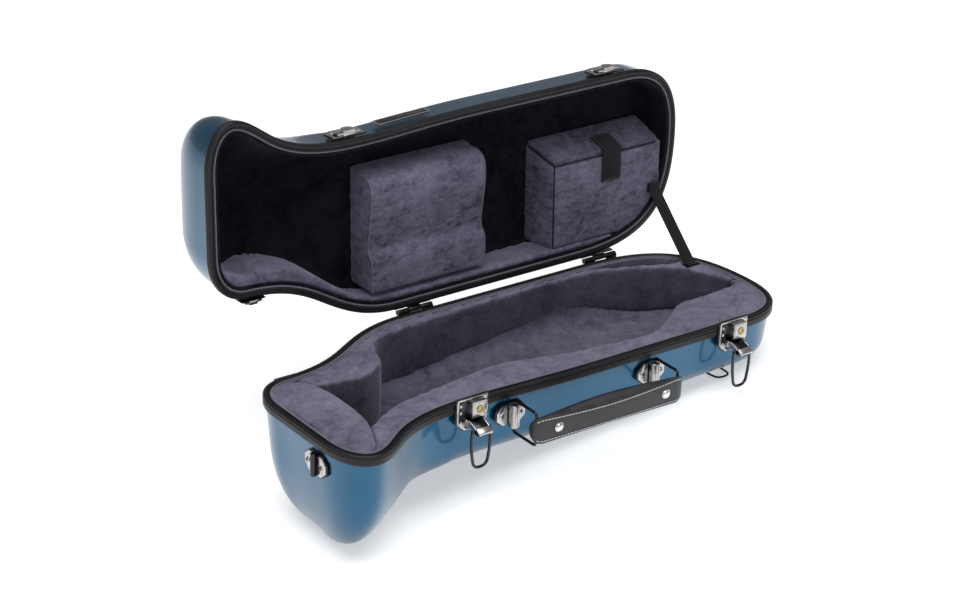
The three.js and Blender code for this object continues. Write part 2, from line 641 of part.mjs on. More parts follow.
// Taut from the base's rim to the point of the lid's rim that meets it when the case is closed.
function strapGeometry() {
  const reach = HINGE_Y - STRAP.y;
  const lidY = HINGE_Y - reach * Math.cos(OPEN);
  const lidZ = reach * Math.sin(OPEN);
  const length = Math.hypot(lidY - STRAP.y, lidZ);
  const made = block(STRAP.x0, STRAP.x1, STRAP.clear, length - STRAP.clear, -0.6, 0.6);
  return made.rotateX(Math.atan2(lidZ, lidY - STRAP.y)).translate(0, STRAP.y, 0);
}
const strapAnchor = (z0, z1) => block(STRAP.x0 - 1, STRAP.x1 + 1, STRAP.y - 5, STRAP.y + 5, z0, z1);
add("stay_strap", strapGeometry(), "webbing");
add("stay_anchor_base", strapAnchor(-1.3, -0.3), "blackSteel");
add("stay_anchor_lid", strapAnchor(0.3, 1.2), "blackSteel", lidFrame);

// ---- plain badge on the lid ----
const badge = block(-30, 30, -0.5, 0.5, -7, 7).rotateX(-0.03).rotateZ(-0.04).translate(-51, -94.1, 22.5);
add("badge", badge, "silver", lidFrame);

// ---- stand the case on its two resting places, centred over the origin ----
caseFrame.rotation.y = TILT;
root.updateMatrixWorld(true);
const bounds = new THREE.Box3().setFromObject(root, true);
const middle = bounds.getCenter(new THREE.Vector3());
caseFrame.position.set(-middle.x, -middle.y, -bounds.min.z);

export default root;
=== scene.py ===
"""Looks for the open trumpet case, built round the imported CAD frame.

Shapes are worked out in the case frame: millimetres, X along the case with the bell end at -X, Y towards
the hinges, and z = 0 where the two halves meet. Lid pieces are worked out closed, and to_row() opens them
and stands the case on its two resting places.
"""
import json
import math

import bmesh
import bpy
import numpy as np
from mathutils import Matrix, Vector


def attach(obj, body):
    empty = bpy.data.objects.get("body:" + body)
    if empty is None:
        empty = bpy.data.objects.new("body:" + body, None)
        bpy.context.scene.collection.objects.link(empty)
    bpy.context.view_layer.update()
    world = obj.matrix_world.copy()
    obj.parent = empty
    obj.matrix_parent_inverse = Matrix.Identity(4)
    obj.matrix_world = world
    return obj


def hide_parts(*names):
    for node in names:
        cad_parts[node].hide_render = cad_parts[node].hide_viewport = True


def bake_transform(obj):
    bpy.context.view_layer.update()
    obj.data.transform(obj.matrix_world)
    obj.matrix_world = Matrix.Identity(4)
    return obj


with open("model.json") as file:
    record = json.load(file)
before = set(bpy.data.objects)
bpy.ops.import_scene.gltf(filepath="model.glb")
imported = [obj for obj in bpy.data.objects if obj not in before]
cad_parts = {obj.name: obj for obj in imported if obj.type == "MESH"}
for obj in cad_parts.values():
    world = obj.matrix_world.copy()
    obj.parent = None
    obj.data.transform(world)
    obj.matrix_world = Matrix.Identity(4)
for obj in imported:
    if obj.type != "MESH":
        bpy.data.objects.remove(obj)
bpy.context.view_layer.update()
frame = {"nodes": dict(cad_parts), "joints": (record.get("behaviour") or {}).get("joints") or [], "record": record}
scene = bpy.context.scene
JOINTS = {joint["name"]: joint for joint in frame["joints"]}

# ---- sizes, as in the CAD ----
WALL = 2.7
HINGE_Y = 98.4
OPEN = math.radians(92)
SHELL_IN = 2.3  # the shell starts this far in from the rim's outer edge
LINER = 4.6  # thickness of the lining
FOAM_IN = 12.3  # the padding starts this far in, and this far above the outside of the bottom
FOAM_RISE = 8.8
BAND = {"base": 10.5, "lid": 7}  # heights of the rim bands
LUG_Z = -27

# Outer edge of the rim, as cubic curves, anticlockwise from the front of the small end.
RIM = [
    [(215, -96), (258, -96), (280, -72), (280, -25)],
    [(280, -25), (280, 60), (250, 95), (150, 95)],
    [(150, 95), (80, 95), (0, 95), (-70, 95)],
    [(-70, 95), (-110, 95), (-135, 80), (-160, 65)],
    [(-160, 65), (-185, 50), (-205, 43), (-240, 42)],
    [(-240, 42), (-265, 42), (-280, 22), (-280, -5)],
    [(-280, -5), (-280, -30), (-280, -60), (-280, -85)],
    [(-280, -85), (-280, -115), (-268, -134), (-250, -134)],
    [(-250, -134), (-236, -134), (-222, -121), (-207, -111)],
    [(-207, -111), (-180, -94), (-150, -91), (-115, -91)],
    [(-115, -91), (-70, -91), (-30, -96), (40, -96)],
    [(40, -96), (100, -96), (160, -96), (215, -96)],
]
# The spine runs between these, and turns from the bell's middle to the body's between the next two.
BELL_X = -240
SMALL_X = 190
BEND = (-200, -60)
CENTRE_Y = -24

# ---- camera, in the case frame ----
LOOK_AT = (-45, 0, 46)
AZIMUTH, ELEVATION, ROLL = (math.radians(angle) for angle in (37.21, 24.76, 2.0))
CAMERA_AWAY = 2.435  # metres
FOCAL = 96.2  # millimetres, on a 36 mm sensor

# ---- the case frame in the row frame ----
hinge = JOINTS["lid_hinge"]
COS, SIN = hinge["axis"][0], -hinge["axis"][2]
CASE = Matrix(((COS, 0, SIN), (0, 1, 0), (-SIN, 0, COS))).to_4x4()
CASE.translation = Vector(hinge["pos_m"]) - Vector((0, HINGE_Y / 1000, 0))


def to_row(points, half="base"):
    """Case-frame points in mm as row-frame points in metres. Lid points are given closed."""
    p = np.array(points, dtype=float).reshape(-1, 3)
    if half == "lid":
        y = p[:, 1] - HINGE_Y
        h = p[:, 2]
        opened_y = HINGE_Y + y * math.cos(OPEN) + h * math.sin(OPEN)
        opened_z = -y * math.sin(OPEN) + h * math.cos(OPEN)
        p = np.stack([p[:, 0], opened_y, opened_z], axis=1)
    turn = np.array(CASE.to_3x3())
    return (p / 1000) @ turn.T + np.array(CASE.translation)


# ---- camera, floor and light ----
def place_camera():
    target = Vector(LOOK_AT) / 1000
    level_east = math.sin(AZIMUTH) * math.cos(ELEVATION)
    level_north = math.cos(AZIMUTH) * math.cos(ELEVATION)
    forward = Vector((level_east, level_north, -math.sin(ELEVATION)))
    right = Vector((math.cos(AZIMUTH), -math.sin(AZIMUTH), 0))
    up = right.cross(forward)
    level = math.cos(ROLL) * right + math.sin(ROLL) * up
    upright = math.cos(ROLL) * up - math.sin(ROLL) * right
    turn = CASE.to_3x3() @ Matrix((level, upright, -forward)).transposed()
    data = bpy.data.cameras.new("camera")
    data.lens = FOCAL
    data.sensor_width = 36
    data.clip_end = 50
    camera = bpy.data.objects.new("camera", data)
    camera.matrix_world = turn.to_4x4()
    camera.location = CASE @ (target - forward * CAMERA_AWAY)
    scene.collection.objects.link(camera)
    scene.camera = camera


def add_area(name, at, size, watts):
    """A rectangular lamp that faces the middle of the case."""
    data = bpy.data.lights.new(name, "AREA")
    data.shape = "RECTANGLE"
    data.size, data.size_y = size
    data.energy = watts
    light = bpy.data.objects.new(name, data)
    light.location = at
    facing = Vector((0, 0, 0.1)) - Vector(at)
    light.rotation_euler = facing.to_track_quat("-Z", "Y").to_euler()
    scene.collection.objects.link(light)


def add_floor():
    mesh = bpy.data.meshes.new("floor")
    mesh.from_pydata([(-6, -6, 0), (6, -6, 0), (6, 6, 0), (-6, 6, 0)], [], [(0, 1, 2, 3)])
    mesh.materials.append(floor_look())
    floor = bpy.data.objects.new("floor", mesh)
    scene.collection.objects.link(floor)


def light_world():
    world = bpy.data.worlds.new("studio")
    world.use_nodes = True
    background = world.node_tree.nodes["Background"]
    background.inputs["Color"].default_value = (1, 1, 1, 1)
    background.inputs["Strength"].default_value = 0.3
    scene.world = world


# ---- node helpers ----
def new_look(name, **values):
    """A Principled material with its inputs set by name, its node tree and its surface node."""
    look = bpy.data.materials.new(name)
    look.use_nodes = True
    tree = look.node_tree
    surface = tree.nodes["Principled BSDF"]
    for key, value in values.items():
        surface.inputs[key.replace("_", " ")].default_value = value
    return look, tree, surface


def node(tree, kind, settings=None, **inputs):
    """A node with its settings and inputs. An input is named with _ for a space, or as i0, i1 by number."""
    made = tree.nodes.new(kind)
    for key, value in (settings or {}).items():
        setattr(made, key, value)
    for key, value in inputs.items():
        by_number = key[0] == "i" and key[1:].isdigit()
        socket = made.inputs[int(key[1:]) if by_number else key.replace("_", " ")]
        if isinstance(value, bpy.types.NodeSocket):
            tree.links.new(value, socket)
        else:
            socket.default_value = value
    return made


def place_of(tree, scale=(1, 1, 1), turn=(0, 0, 0)):
    """Object coordinates in metres, turned and scaled."""
    coordinates = tree.nodes.new("ShaderNodeTexCoord").outputs["Object"]
    return node(tree, "ShaderNodeMapping", Vector=coordinates, Scale=scale, Rotation=turn).outputs[0]


def noise(tree, where, scale, detail=2, rough=0.5, distort=0):
    inputs = {"Vector": where, "Scale": scale, "Detail": detail, "Roughness": rough, "Distortion": distort}
    return node(tree, "ShaderNodeTexNoise", **inputs).outputs["Fac"]


def ramp(tree, value, stops):
    """A colour for a value, from (value, colour) stops."""
    made = node(tree, "ShaderNodeValToRGB", Fac=value)
    elements = made.color_ramp.elements
    elements[0].position, elements[0].color = stops[0][0], (*stops[0][1], 1)
    elements[1].position, elements[1].color = stops[-1][0], (*stops[-1][1], 1)
    for position, colour in stops[1:-1]:
        elements.new(position).color = (*colour, 1)
    return made.outputs["Color"]


def spread(tree, value, low, high, a=0, b=1):
    """Carries the range low to high onto a to b."""
    inputs = {"Value": value, "From_Min": low, "From_Max": high, "To_Min": a, "To_Max": b}
    return node(tree, "ShaderNodeMapRange", **inputs).outputs[0]


def bump(tree, height, strength, distance, normal=None):
    made = node(tree, "ShaderNodeBump", Height=height, Strength=strength, Distance=distance)
    if normal is not None:
        tree.links.new(normal, made.inputs["Normal"])
    return made.outputs["Normal"]


def math_of(tree, kind, a, b):
    return node(tree, "ShaderNodeMath", {"operation": kind}, i0=a, i1=b).outputs[0]


def weighted(tree, *parts):
    """The sum of (value, weight) pairs."""
    total = math_of(tree, "MULTIPLY", *parts[0])
    for value, weight in parts[1:]:
        total = math_of(tree, "ADD", total, math_of(tree, "MULTIPLY", value, weight))
    return total


def feed(surface, **values):
    """Links values to the surface's inputs, named with _ for a space."""
    for key, value in values.items():
        surface.id_data.links.new(value, surface.inputs[key.replace("_", " ")])


# ---- materials ----
# Painted shade on the base's plush: how much of its colour is kept, from DEEPEST below the rim (0) up to the rim
# (1).
DEEPEST = 0.11
DEPTH_SHADE = [(0, 0.1), (0.34, 0.34), (0.46, 0.7), (0.6, 0.8), (0.94, 1)]


def shell_paint():
    """Metallic paint under a clear coat, with slight ripples, faint scuffs and fine flake."""
    values = {"Metallic": 0.85, "Roughness": 0.34, "Coat_Weight": 0.6, "Coat_IOR": 1.45}
    look, tree, surface = new_look("shell_paint", **values)
    where = place_of(tree)
    flake = noise(tree, where, 2600, 1)
    tint = weighted(tree, (flake, 0.6), (noise(tree, where, 9, 2), 0.4))
    scuffs = noise(tree, place_of(tree, (3, 60, 60)), 14, 3, 0.7)
    feed(
        surface,
        Base_Color=ramp(tree, tint, [(0.3, (0.004, 0.058, 0.12)), (0.7, (0.011, 0.105, 0.205))]),
        Coat_Roughness=spread(tree, scuffs, 0.55, 0.8, 0.03, 0.09),
        Coat_Normal=bump(tree, noise(tree, where, 38, 2), 0.05, 0.002),
        Normal=bump(tree, flake, 0.12, 0.0002),
    )
    return look


def rubber():
    look, tree, surface = new_look("rubber", Roughness=0.42, Specular_IOR_Level=0.3)
    where = place_of(tree)
    dust = noise(tree, where, 22, 4, 0.6)
    feed(
        surface,
        Base_Color=ramp(tree, dust, [(0.35, (0.003, 0.003, 0.004)), (0.75, (0.009, 0.009, 0.012))]),
        Roughness=spread(tree, dust, 0.3, 0.7, 0.36, 0.52),
        Normal=bump(tree, noise(tree, where, 900, 3, 0.6), 0.25, 0.0003),
    )
    return look


def painted_side_and_depth_shade(tree, wall):
    """Painted shade: darkens the base's plush on its sides, and more the deeper it lies below the rim."""
    facing = tree.nodes.new("ShaderNodeNewGeometry").outputs["True Normal"]
    upward = node(tree, "ShaderNodeSeparateXYZ", Vector=facing).outputs["Z"]
    side = spread(tree, upward, 0.1, 0.8, wall, 1.0)
    up = CASE.to_3x3().col[2]
    where = tree.nodes.new("ShaderNodeTexCoord").outputs["Object"]
    level = node(tree, "ShaderNodeVectorMath", {"operation": "DOT_PRODUCT"}, i0=where, i1=tuple(up))
    rim = up.dot(CASE.translation)
    stops = [(at, (shade,) * 3) for at, shade in DEPTH_SHADE]
    depth = ramp(tree, spread(tree, level.outputs["Value"], rim - DEEPEST, rim), stops)
    return math_of(tree, "MULTIPLY", side, depth)


def plush(name, dark, light, sheen=0.5, streak=(1, 1, 1), wall=1.0):
    """Short-pile plush: patches brushed one way or the other, crushed streaks and fine pile.

    A wall value under 1 is for the base, and says how dark its sides are painted; with it the base also gets
    painted shade that deepens below the rim."""
    look, tree, surface = new_look(name, Roughness=0.95, Sheen_Weight=sheen, Sheen_Roughness=0.4)
    surface.inputs["Specular IOR Level"].default_value = 0.05
    surface.inputs["Sheen Tint"].default_value = (0.7, 0.69, 0.9, 1)
    where = place_of(tree)
    broad = noise(tree, where, 14, 2, 0.5, 0.3)
    brushed = noise(tree, place_of(tree, streak, (0.3, 0.2, 0.5)), 62, 4, 0.66, 0.6)
    crushed = noise(tree, where, 210, 3, 0.7, 0.3)
    mixed = weighted(tree, (broad, 0.3), (brushed, 0.45), (crushed, 0.25))
    middle = tuple(a * 0.45 + b * 0.55 for a, b in zip(dark, light))
    colour = ramp(tree, mixed, [(0.36, dark), (0.5, middle), (0.64, light)])
    if wall < 1:
        # painted shade on the sides and in the depths
        shade = painted_side_and_depth_shade(tree, wall)
        colour = node(tree, "ShaderNodeVectorMath", {"operation": "SCALE"}, i0=colour, Scale=shade).outputs[0]
    soft = bump(tree, mixed, 0.3, 0.002)
    pile = bump(tree, noise(tree, where, 1500, 2, 0.7), 0.45, 0.0006, soft)
    feed(surface, Base_Color=colour, Normal=pile)
    return look


def piping():
    """Cord covered in thin twisted fabric."""
    look, tree, surface = new_look("piping", Roughness=0.6, Sheen_Weight=0.6)
    where = place_of(tree, (1, 1, 1), (0, 0.6, 0.7))
    twist = node(tree, "ShaderNodeTexWave", Vector=where, Scale=420, Distortion=1.2).outputs["Fac"]
    shade = weighted(tree, (twist, 0.5), (noise(tree, place_of(tree), 60), 0.5))
    feed(
        surface,
        Base_Color=ramp(tree, shade, [(0.2, (0.03, 0.03, 0.044)), (0.8, (0.09, 0.088, 0.125))]),
        Normal=bump(tree, twist, 0.4, 0.0004),
    )
    return look


def plated(name, colour, rough, worn=0.12):
    """Plated steel: slight waviness, fine polishing lines and a little wear."""
    look, tree, surface = new_look(name, Metallic=1.0, Roughness=rough)
    cloud = noise(tree, place_of(tree), 70, 4, 0.65)
    lines = noise(tree, place_of(tree, (30, 900, 900), (0, 0.12, 0)), 3, 2)
    dark = tuple(c * 0.72 for c in colour)
    feed(
        surface,
        Base_Color=ramp(tree, cloud, [(0.3, dark), (0.65, colour)]),
        Roughness=spread(tree, cloud, 0.35, 0.75, rough * 0.75, rough + worn),
        Normal=bump(tree, lines, 0.06, 0.0002),
    )
    return look


def leather():
    """Smooth black leather with a fine cell grain over soft creases."""
    look, tree, surface = new_look("leather", Roughness=0.45, Specular_IOR_Level=0.4)
    where = place_of(tree)
    cells = node(tree, "ShaderNodeTexVoronoi", {"feature": "DISTANCE_TO_EDGE"}, Vector=where, Scale=1150)
    grain = spread(tree, cells.outputs["Distance"], 0.0, 0.16)
    cloud = noise(tree, where, 60, 4, 0.6)
    soft = bump(tree, noise(tree, where, 190, 3), 0.16, 0.0008)
    feed(
        surface,
        Base_Color=ramp(tree, cloud, [(0.3, (0.011, 0.011, 0.0135)), (0.7, (0.027, 0.027, 0.032))]),
        Roughness=spread(tree, cloud, 0.3, 0.7, 0.34, 0.52),
        Normal=bump(tree, grain, 0.22, 0.00025, soft),
    )
    return look


def woven(name, dark, light):
    """Narrow woven webbing: rows of thread both ways."""
    look, tree, surface = new_look(name, Roughness=0.85, Sheen_Weight=0.04)
    surface.inputs["Specular IOR Level"].default_value = 0.15
    where = place_of(tree)
    rows = [
        node(tree, "ShaderNodeTexWave", {"bands_direction": way}, Vector=where, Scale=scale, Distortion=0.4)
        for way, scale in (("X", 320), ("Z", 260))
    ]
    height = math_of(tree, "MAXIMUM", *(row.outputs["Fac"] for row in rows))
    feed(
        surface,
        Base_Color=ramp(tree, height, [(0.3, dark), (0.9, light)]),
        Normal=bump(tree, height, 0.5, 0.0004),
    )
    return look


def thread(name, dark, light):
    """Twisted sewing thread."""
    look, tree, surface = new_look(name, Roughness=0.6)
    where = place_of(tree, (1, 1, 1), (0.4, 0, 0.6))
    twist = node(tree, "ShaderNodeTexWave", Vector=where, Scale=900).outputs["Fac"]
    feed(
        surface,
        Base_Color=ramp(tree, twist, [(0.2, dark), (0.8, light)]),
        Normal=bump(tree, twist, 0.4, 0.0002),
    )
    return look


def floor_look():
    """A pale floor that glows a little, so that it stays white to the horizon."""
    values = {"Roughness": 0.9, "Emission_Color": (1, 1, 1, 1), "Emission_Strength": 0.42}
    look, tree, surface = new_look("floor", **values)
    where = place_of(tree)
    cloud = noise(tree, where, 0.8, 2)
    feed(
        surface,
        Base_Color=ramp(tree, cloud, [(0.2, (0.93, 0.93, 0.935)), (0.8, (0.97, 0.97, 0.972))]),
        Normal=bump(tree, noise(tree, where, 400, 2), 0.05, 0.0005),
    )
    return look


LOOKS = {
    "shell": shell_paint(),
    "rubber": rubber(),
    # The base's plush: wall=0.5 paints shade on its sides, and its depths get painted shade too.
    "plush": plush("plush", (0.05, 0.048, 0.074), (0.165, 0.162, 0.222), 0.45, wall=0.5),
    "pad_plush": plush("pad_plush", (0.022, 0.021, 0.038), (0.15, 0.147, 0.21), 0.45, (1, 1, 2.2)),
    # Painted shade: the pads' plush made darker for the box flap's upturned top.
    "flap_plush_painted_shade": plush("flap_plush_painted_shade", (0.014, 0.0135, 0.024), (0.095, 0.093, 0.134), 0.3, (1, 1, 2.2)),
    # Painted shade: the lid's lining is the same plush made near-black, for the deep shade inside the open lid.
    "lid_plush_painted_shade": plush("lid_plush_painted_shade", (0.0016, 0.0016, 0.003), (0.012, 0.0115, 0.0185), 0.08),
    "piping": piping(),
    "steel": plated("nickel", (0.5, 0.49, 0.485), 0.22),
    "black_steel": plated("black_nickel", (0.05, 0.05, 0.054), 0.24),
    "brass": plated("brass", (0.4, 0.3, 0.13), 0.3),
    "leather": leather(),
    "thread": thread("thread", (0.36, 0.36, 0.37), (0.62, 0.62, 0.62)),
    "dark_thread": thread("dark_thread", (0.02, 0.02, 0.024), (0.06, 0.06, 0.065)),
    "webbing": woven("webbing", (0.002, 0.002, 0.0025), (0.013, 0.013, 0.015)),
    "silver": plated("silver", (0.78, 0.78, 0.8), 0.18),
}


# ---- building pieces ----
def make_object(name, points, faces, look, half="base", place=True):
    """A mesh object from case-frame points or, with place=False, from points of the row's frame."""
    mesh = bpy.data.meshes.new(name)
    made = to_row(points, half) if place else np.array(points)
    mesh.from_pydata(made.tolist(), [], faces)
    mesh.materials.append(LOOKS[look])
    item = bpy.data.objects.new(name, mesh)
    scene.collection.objects.link(item)
    return item


def even_faces(item):
    """Joins doubled points and turns every face outwards."""
    shape = bmesh.new()
    shape.from_mesh(item.data)
    bmesh.ops.remove_doubles(shape, verts=shape.verts, dist=2e-6)
    bmesh.ops.recalc_face_normals(shape, faces=shape.faces)
    shape.to_mesh(item.data)
    shape.free()


def round_shading(item, angle=35):
    item.data.polygons.foreach_set("use_smooth", [True] * len(item.data.polygons))
    if angle < 180:
        item.data.set_sharp_from_angle(angle=math.radians(angle))


def settle(item):
    """Applies the modifiers."""
    graph = bpy.context.evaluated_depsgraph_get()
    final = item.evaluated_get(graph)
    made = bpy.data.meshes.new_from_object(final, preserve_all_data_layers=True, depsgraph=graph)
    item.modifiers.clear()
    old = item.data
    item.data = made
    bpy.data.meshes.remove(old)


def finish_piece(item, look, body, replaces=(), angle=35):
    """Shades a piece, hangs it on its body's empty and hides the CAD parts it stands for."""
    round_shading(item, angle)
    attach(item, body)
    if replaces:
        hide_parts(*replaces)
    return item


def bevelled(item, width):
    """Rounds off the sharp edges."""
    edge_round = item.modifiers.new("edge", "BEVEL")
    edge_round.width = width / 1000
    edge_round.segments = 2
    edge_round.limit_method = "ANGLE"
    edge_round.angle_limit = math.radians(32)
    edge_round.use_clamp_overlap = True
    settle(item)


def read_points(item):
    co = np.empty(len(item.data.vertices) * 3)
    item.data.vertices.foreach_get("co", co)
    return co.reshape(-1, 3)


def write_points(item, co):
    item.data.vertices.foreach_set("co", co.ravel())
    item.data.update()


# ---- plan curves ----
def smooth_line(points, count):
    """Points at even steps along a smooth curve through the given ones."""
    p = np.array(points, dtype=float)
    ends = np.vstack([2 * p[0] - p[1], p, 2 * p[-1] - p[-2]])
    fine = []
    for i in range(len(p) - 1):
        a, b, c, d = ends[i : i + 4]
        t = np.linspace(0, 1, 24, endpoint=False)[:, None]
        square = 2 * a - 5 * b + 4 * c - d
        cube = 3 * b - a - 3 * c + d
        fine.append(0.5 * (2 * b + (c - a) * t + square * t**2 + cube * t**3))
    fine = np.vstack([*fine, p[-1:]])
    return even_steps(fine, count)


def even_steps(line, count, closed=False):
    """Points at even steps along a line, or round a closed one."""
    line = np.vstack([line, line[:1]]) if closed else line
    gaps = np.linalg.norm(np.diff(line, axis=0), axis=1)
    along = np.concatenate([[0], np.cumsum(gaps)])
    at = np.linspace(0, along[-1], count, endpoint=not closed)
    return np.stack([np.interp(at, along, line[:, k]) for k in range(line.shape[1])], axis=1)


def rim_outline(count):
    """The rim's outer edge at even steps, and the direction in from it at each."""
    t = np.linspace(0, 1, 60, endpoint=False)[:, None]
    curves = []
    for a, b, c, d in np.array(RIM, dtype=float):
        curves.append((1 - t) ** 3 * a + 3 * (1 - t) ** 2 * t * b + 3 * (1 - t) * t**2 * c + t**3 * d)
    edge = even_steps(np.vstack(curves), count, closed=True)
    along = np.roll(edge, -2, axis=0) - np.roll(edge, 2, axis=0)
    along /= np.linalg.norm(along, axis=1)[:, None]
    inward = np.stack([-along[:, 1], along[:, 0]], axis=1)
    return edge, inward


EDGE, INWARD = rim_outline(460)


def inset_line(distance):
    return EDGE + INWARD * distance


def edge_y(x, side):
    """Where the rim's outer edge passes a given x, at the front (-1) or the hinge side (1)."""
    near = np.abs(EDGE[:, 0] - x) < 1.5
    return float(EDGE[near & (np.sign(EDGE[:, 1] - spine_y(x)) == side)][:, 1].mean())


def ease(start, end, x):
    """Goes smoothly from 0 at start to 1 at end."""
    t = np.clip((np.asarray(x, dtype=float) - start) / (end - start), 0, 1)
    return t * t * (3 - 2 * t)


def spine_y(x):
    return CENTRE_Y * (1 - ease(*BEND, x))


# ---- the two halves ----
# depth(x) is how deep a half is, corner(x) how far its rounded edge reaches in and up, and draft how far
# its sides lean in.
class Base:
    up, half, draft = -1, "base", 4

    @staticmethod
    def depth(x):
        # The CAD's base drops 47 at the bell end. This smoother skin stands on the same floor with 44.
        return 60 + 12 * (270 - x) / 370 + 44 * ease(-125, -206, x)

    @staticmethod
    def corner(x):
        return 24 + 47 * ease(-130, -180, x), 24 + 58 * ease(-130, -183, x)


class Lid:
    up, half, draft = 1, "lid", 1

    @staticmethod
    def depth(x):
        return 50 + 41 * ease(-110, -205, x)

    @staticmethod
    def corner(x):
        return 13 + 63 * ease(-130, -205, x), 14 + 51 * ease(-120, -205, x)


SPINE_SHARE = 0.97  # the last ring's share of the way in to the spine


def bowl_rings(form, inset, rise, top, corner_steps, flat_steps):
    """Rings of the bowl-shaped half, from its top edge down to the spine."""
    edge = inset_line(inset)
    centre_x = np.clip(edge[:, 0], BELL_X, SMALL_X)
    centre = np.stack([centre_x, spine_y(centre_x)], axis=1)
    across = centre - edge
    reach = np.linalg.norm(across, axis=1)
    corner_in, corner_up = form.corner(EDGE[:, 0])
    corner_in = np.minimum(corner_in, reach - 5)

    def ring(inwards, down):
        p = edge + across * (inwards / reach)[:, None]
        return np.column_stack([p, form.up * down(form.depth(p[:, 0]) - rise)])

    rings = [ring(reach * 0, lambda depth: 0 * depth + top)]
    start = ring(0 * reach + form.draft, lambda depth: depth - corner_up)
    for step in (0.25, 0.5, 0.75):
        rings.append(rings[0] * (1 - step) + start * step)
    for step in range(corner_steps + 1):
        turn = math.pi / 2 * step / corner_steps
        inwards = form.draft + corner_in * (1 - math.cos(turn))
        rings.append(ring(inwards, lambda depth: depth - corner_up * (1 - math.sin(turn))))
    begun = form.draft + corner_in
    for step in range(1, flat_steps + 1):
        rings.append(ring(begun + (reach * SPINE_SHARE - begun) * step / flat_steps, lambda depth: depth))
    return np.array(rings)


def bowl_object(name, form, inset, rise, top, look, steps=(12, 6), filled=False):
    """The bowl as one surface, closed along its spine and, if filled, by a flat top."""
    rings = bowl_rings(form, inset, rise, top, *steps)
    count, around = rings.shape[:2]
    faces = skin_faces(count, around)
    faces.append(tuple(range((count - 1) * around, count * around)))
    if filled:
        faces.append(tuple(range(around)))
    item = make_object(name, rings.reshape(-1, 3), faces, look, form.half)
    shape = bmesh.new()
    shape.from_mesh(item.data)
    bmesh.ops.triangulate(shape, faces=[face for face in shape.faces if len(face.verts) > 4])
    bmesh.ops.recalc_face_normals(shape, faces=shape.faces)
    shape.to_mesh(item.data)
    shape.free()
    return item, around


def skin_faces(rings, count, closed=False):
    """Faces between rings of points, and between the last ring and the first if closed."""
    faces = []
    for r in range(rings if closed else rings - 1):
        a, b = r * count, ((r + 1) % rings) * count
        faces += [(a + i, a + (i + 1) % count, b + (i + 1) % count, b + i) for i in range(count)]
    return faces


def tube_faces(rings, count):
    """Faces of a tube of rings, closed at both ends."""
    last = (rings - 1) * count
    return skin_faces(rings, count) + [tuple(range(count)), tuple(range(last, last + count))]


def relax(item, rounds, free=1, swell=0.0):
    """Evens out a mesh by moving each free point towards its neighbours. A swell step after each round,
    moving points back a little further, keeps the shape from shrinking."""
    co = read_points(item)
    n = len(co)
    ends = np.empty(len(item.data.edges) * 2, dtype=int)
    item.data.edges.foreach_get("vertices", ends)
    a, b = ends.reshape(-1, 2).T
    degree = np.bincount(a, minlength=n) + np.bincount(b, minlength=n)
    for step in [0.5, -swell] * rounds if swell else [0.5] * rounds:
        sums = [np.bincount(a, co[b, k], n) + np.bincount(b, co[a, k], n) for k in range(3)]
        co = co + free * step * (np.stack(sums, axis=1) / degree[:, None] - co)
    write_points(item, co)


def bowl_skin(name, form, inset, rise, top, thickness, look):
    """An even skin. Its thickness grows inwards, and the rings next to the rim and the spine keep still."""
    item, around = bowl_object(name, form, inset, rise, top, look)
    ring = np.arange(len(item.data.vertices)) // around
    free = (ring >= 4) & (ring < ring[-1] - 1)
    relax(item, 14, free[:, None], 0.51)
    thick = item.modifiers.new("thickness", "SOLIDIFY")
    thick.thickness = thickness / 1000
    thick.offset = -1
    settle(item)
    return item


def sweep(name, section, look, half):
    """A closed (inset, height) section carried round the rim."""
    lines = [np.column_stack([inset_line(inset), np.full(len(EDGE), height)]) for inset, height in section]
    rings = np.array(lines)
    item = make_object(name, rings.reshape(-1, 3), skin_faces(*rings.shape[:2], closed=True), look, half)
    even_faces(item)
    return item


def round_section(centre, radius, count=10):
    turns = [2 * math.pi * i / count for i in range(count)]
    return [(centre[0] + radius * math.cos(turn), centre[1] + radius * math.sin(turn)) for turn in turns]


# ---- shells, rim bands and linings ----
def band_section(high):
    """A channel with a rounded outer lip, a groove under it and a bead on top, as (inset, height)."""
    lip = [(0.6, high), (0.05, high - 0.5), (-0.1, high - 1.2)]
    groove = [(-0.1, 4.4), (0.55, 3.9), (0.55, 3.3), (-0.1, 2.8)]
    top = [(-0.05, 1.6), (0.5, 0.75), (1.5, 0.3), (2.6, 0.22)]
    bead = [(3.8, 0.25), (4.3, 1.1), (4.9, 1.15), (5.3, 0.3), (6.0, 0.25)]
    inside = [(6.6, 0.7), (6.8, 1.5), (6.8, 6), (5.7, 6), (5.7, 3.2), (2, 3.2), (2, high)]
    return lip + groove + top + bead + inside


def half_case(form):
    body = form.half
    shell = bowl_skin(f"{body}_shell_skin", form, SHELL_IN, 0, 3.6, WALL - 0.2, "shell")
    finish_piece(shell, "shell", body, [f"{body}_shell"], 40)
    section = [(inset, height * form.up) for inset, height in band_section(BAND[body])]
    band = sweep(f"{body}_rim_band", section, "rubber", body)
    finish_piece(band, "rubber", body, [f"{body}_rim"], 50)
    cord = sweep(f"{body}_rim_piping", round_section((7.7, 1.5 * form.up), 0.85), "piping", body)
    finish_piece(cord, "piping", body, (), 80)
    # the lid's lining takes the near-black plush, painted shade for its recess
    look = "lid_plush_painted_shade" if form is Lid else "plush"
    lining = bowl_skin(f"{body}_lining", form, FOAM_IN - 0.6, FOAM_RISE - 0.6, 1.6, 1.2 - LINER, look)
    finish_piece(lining, look, body, [f"{body}_liner"], 60)


half_case(Base)
half_case(Lid)


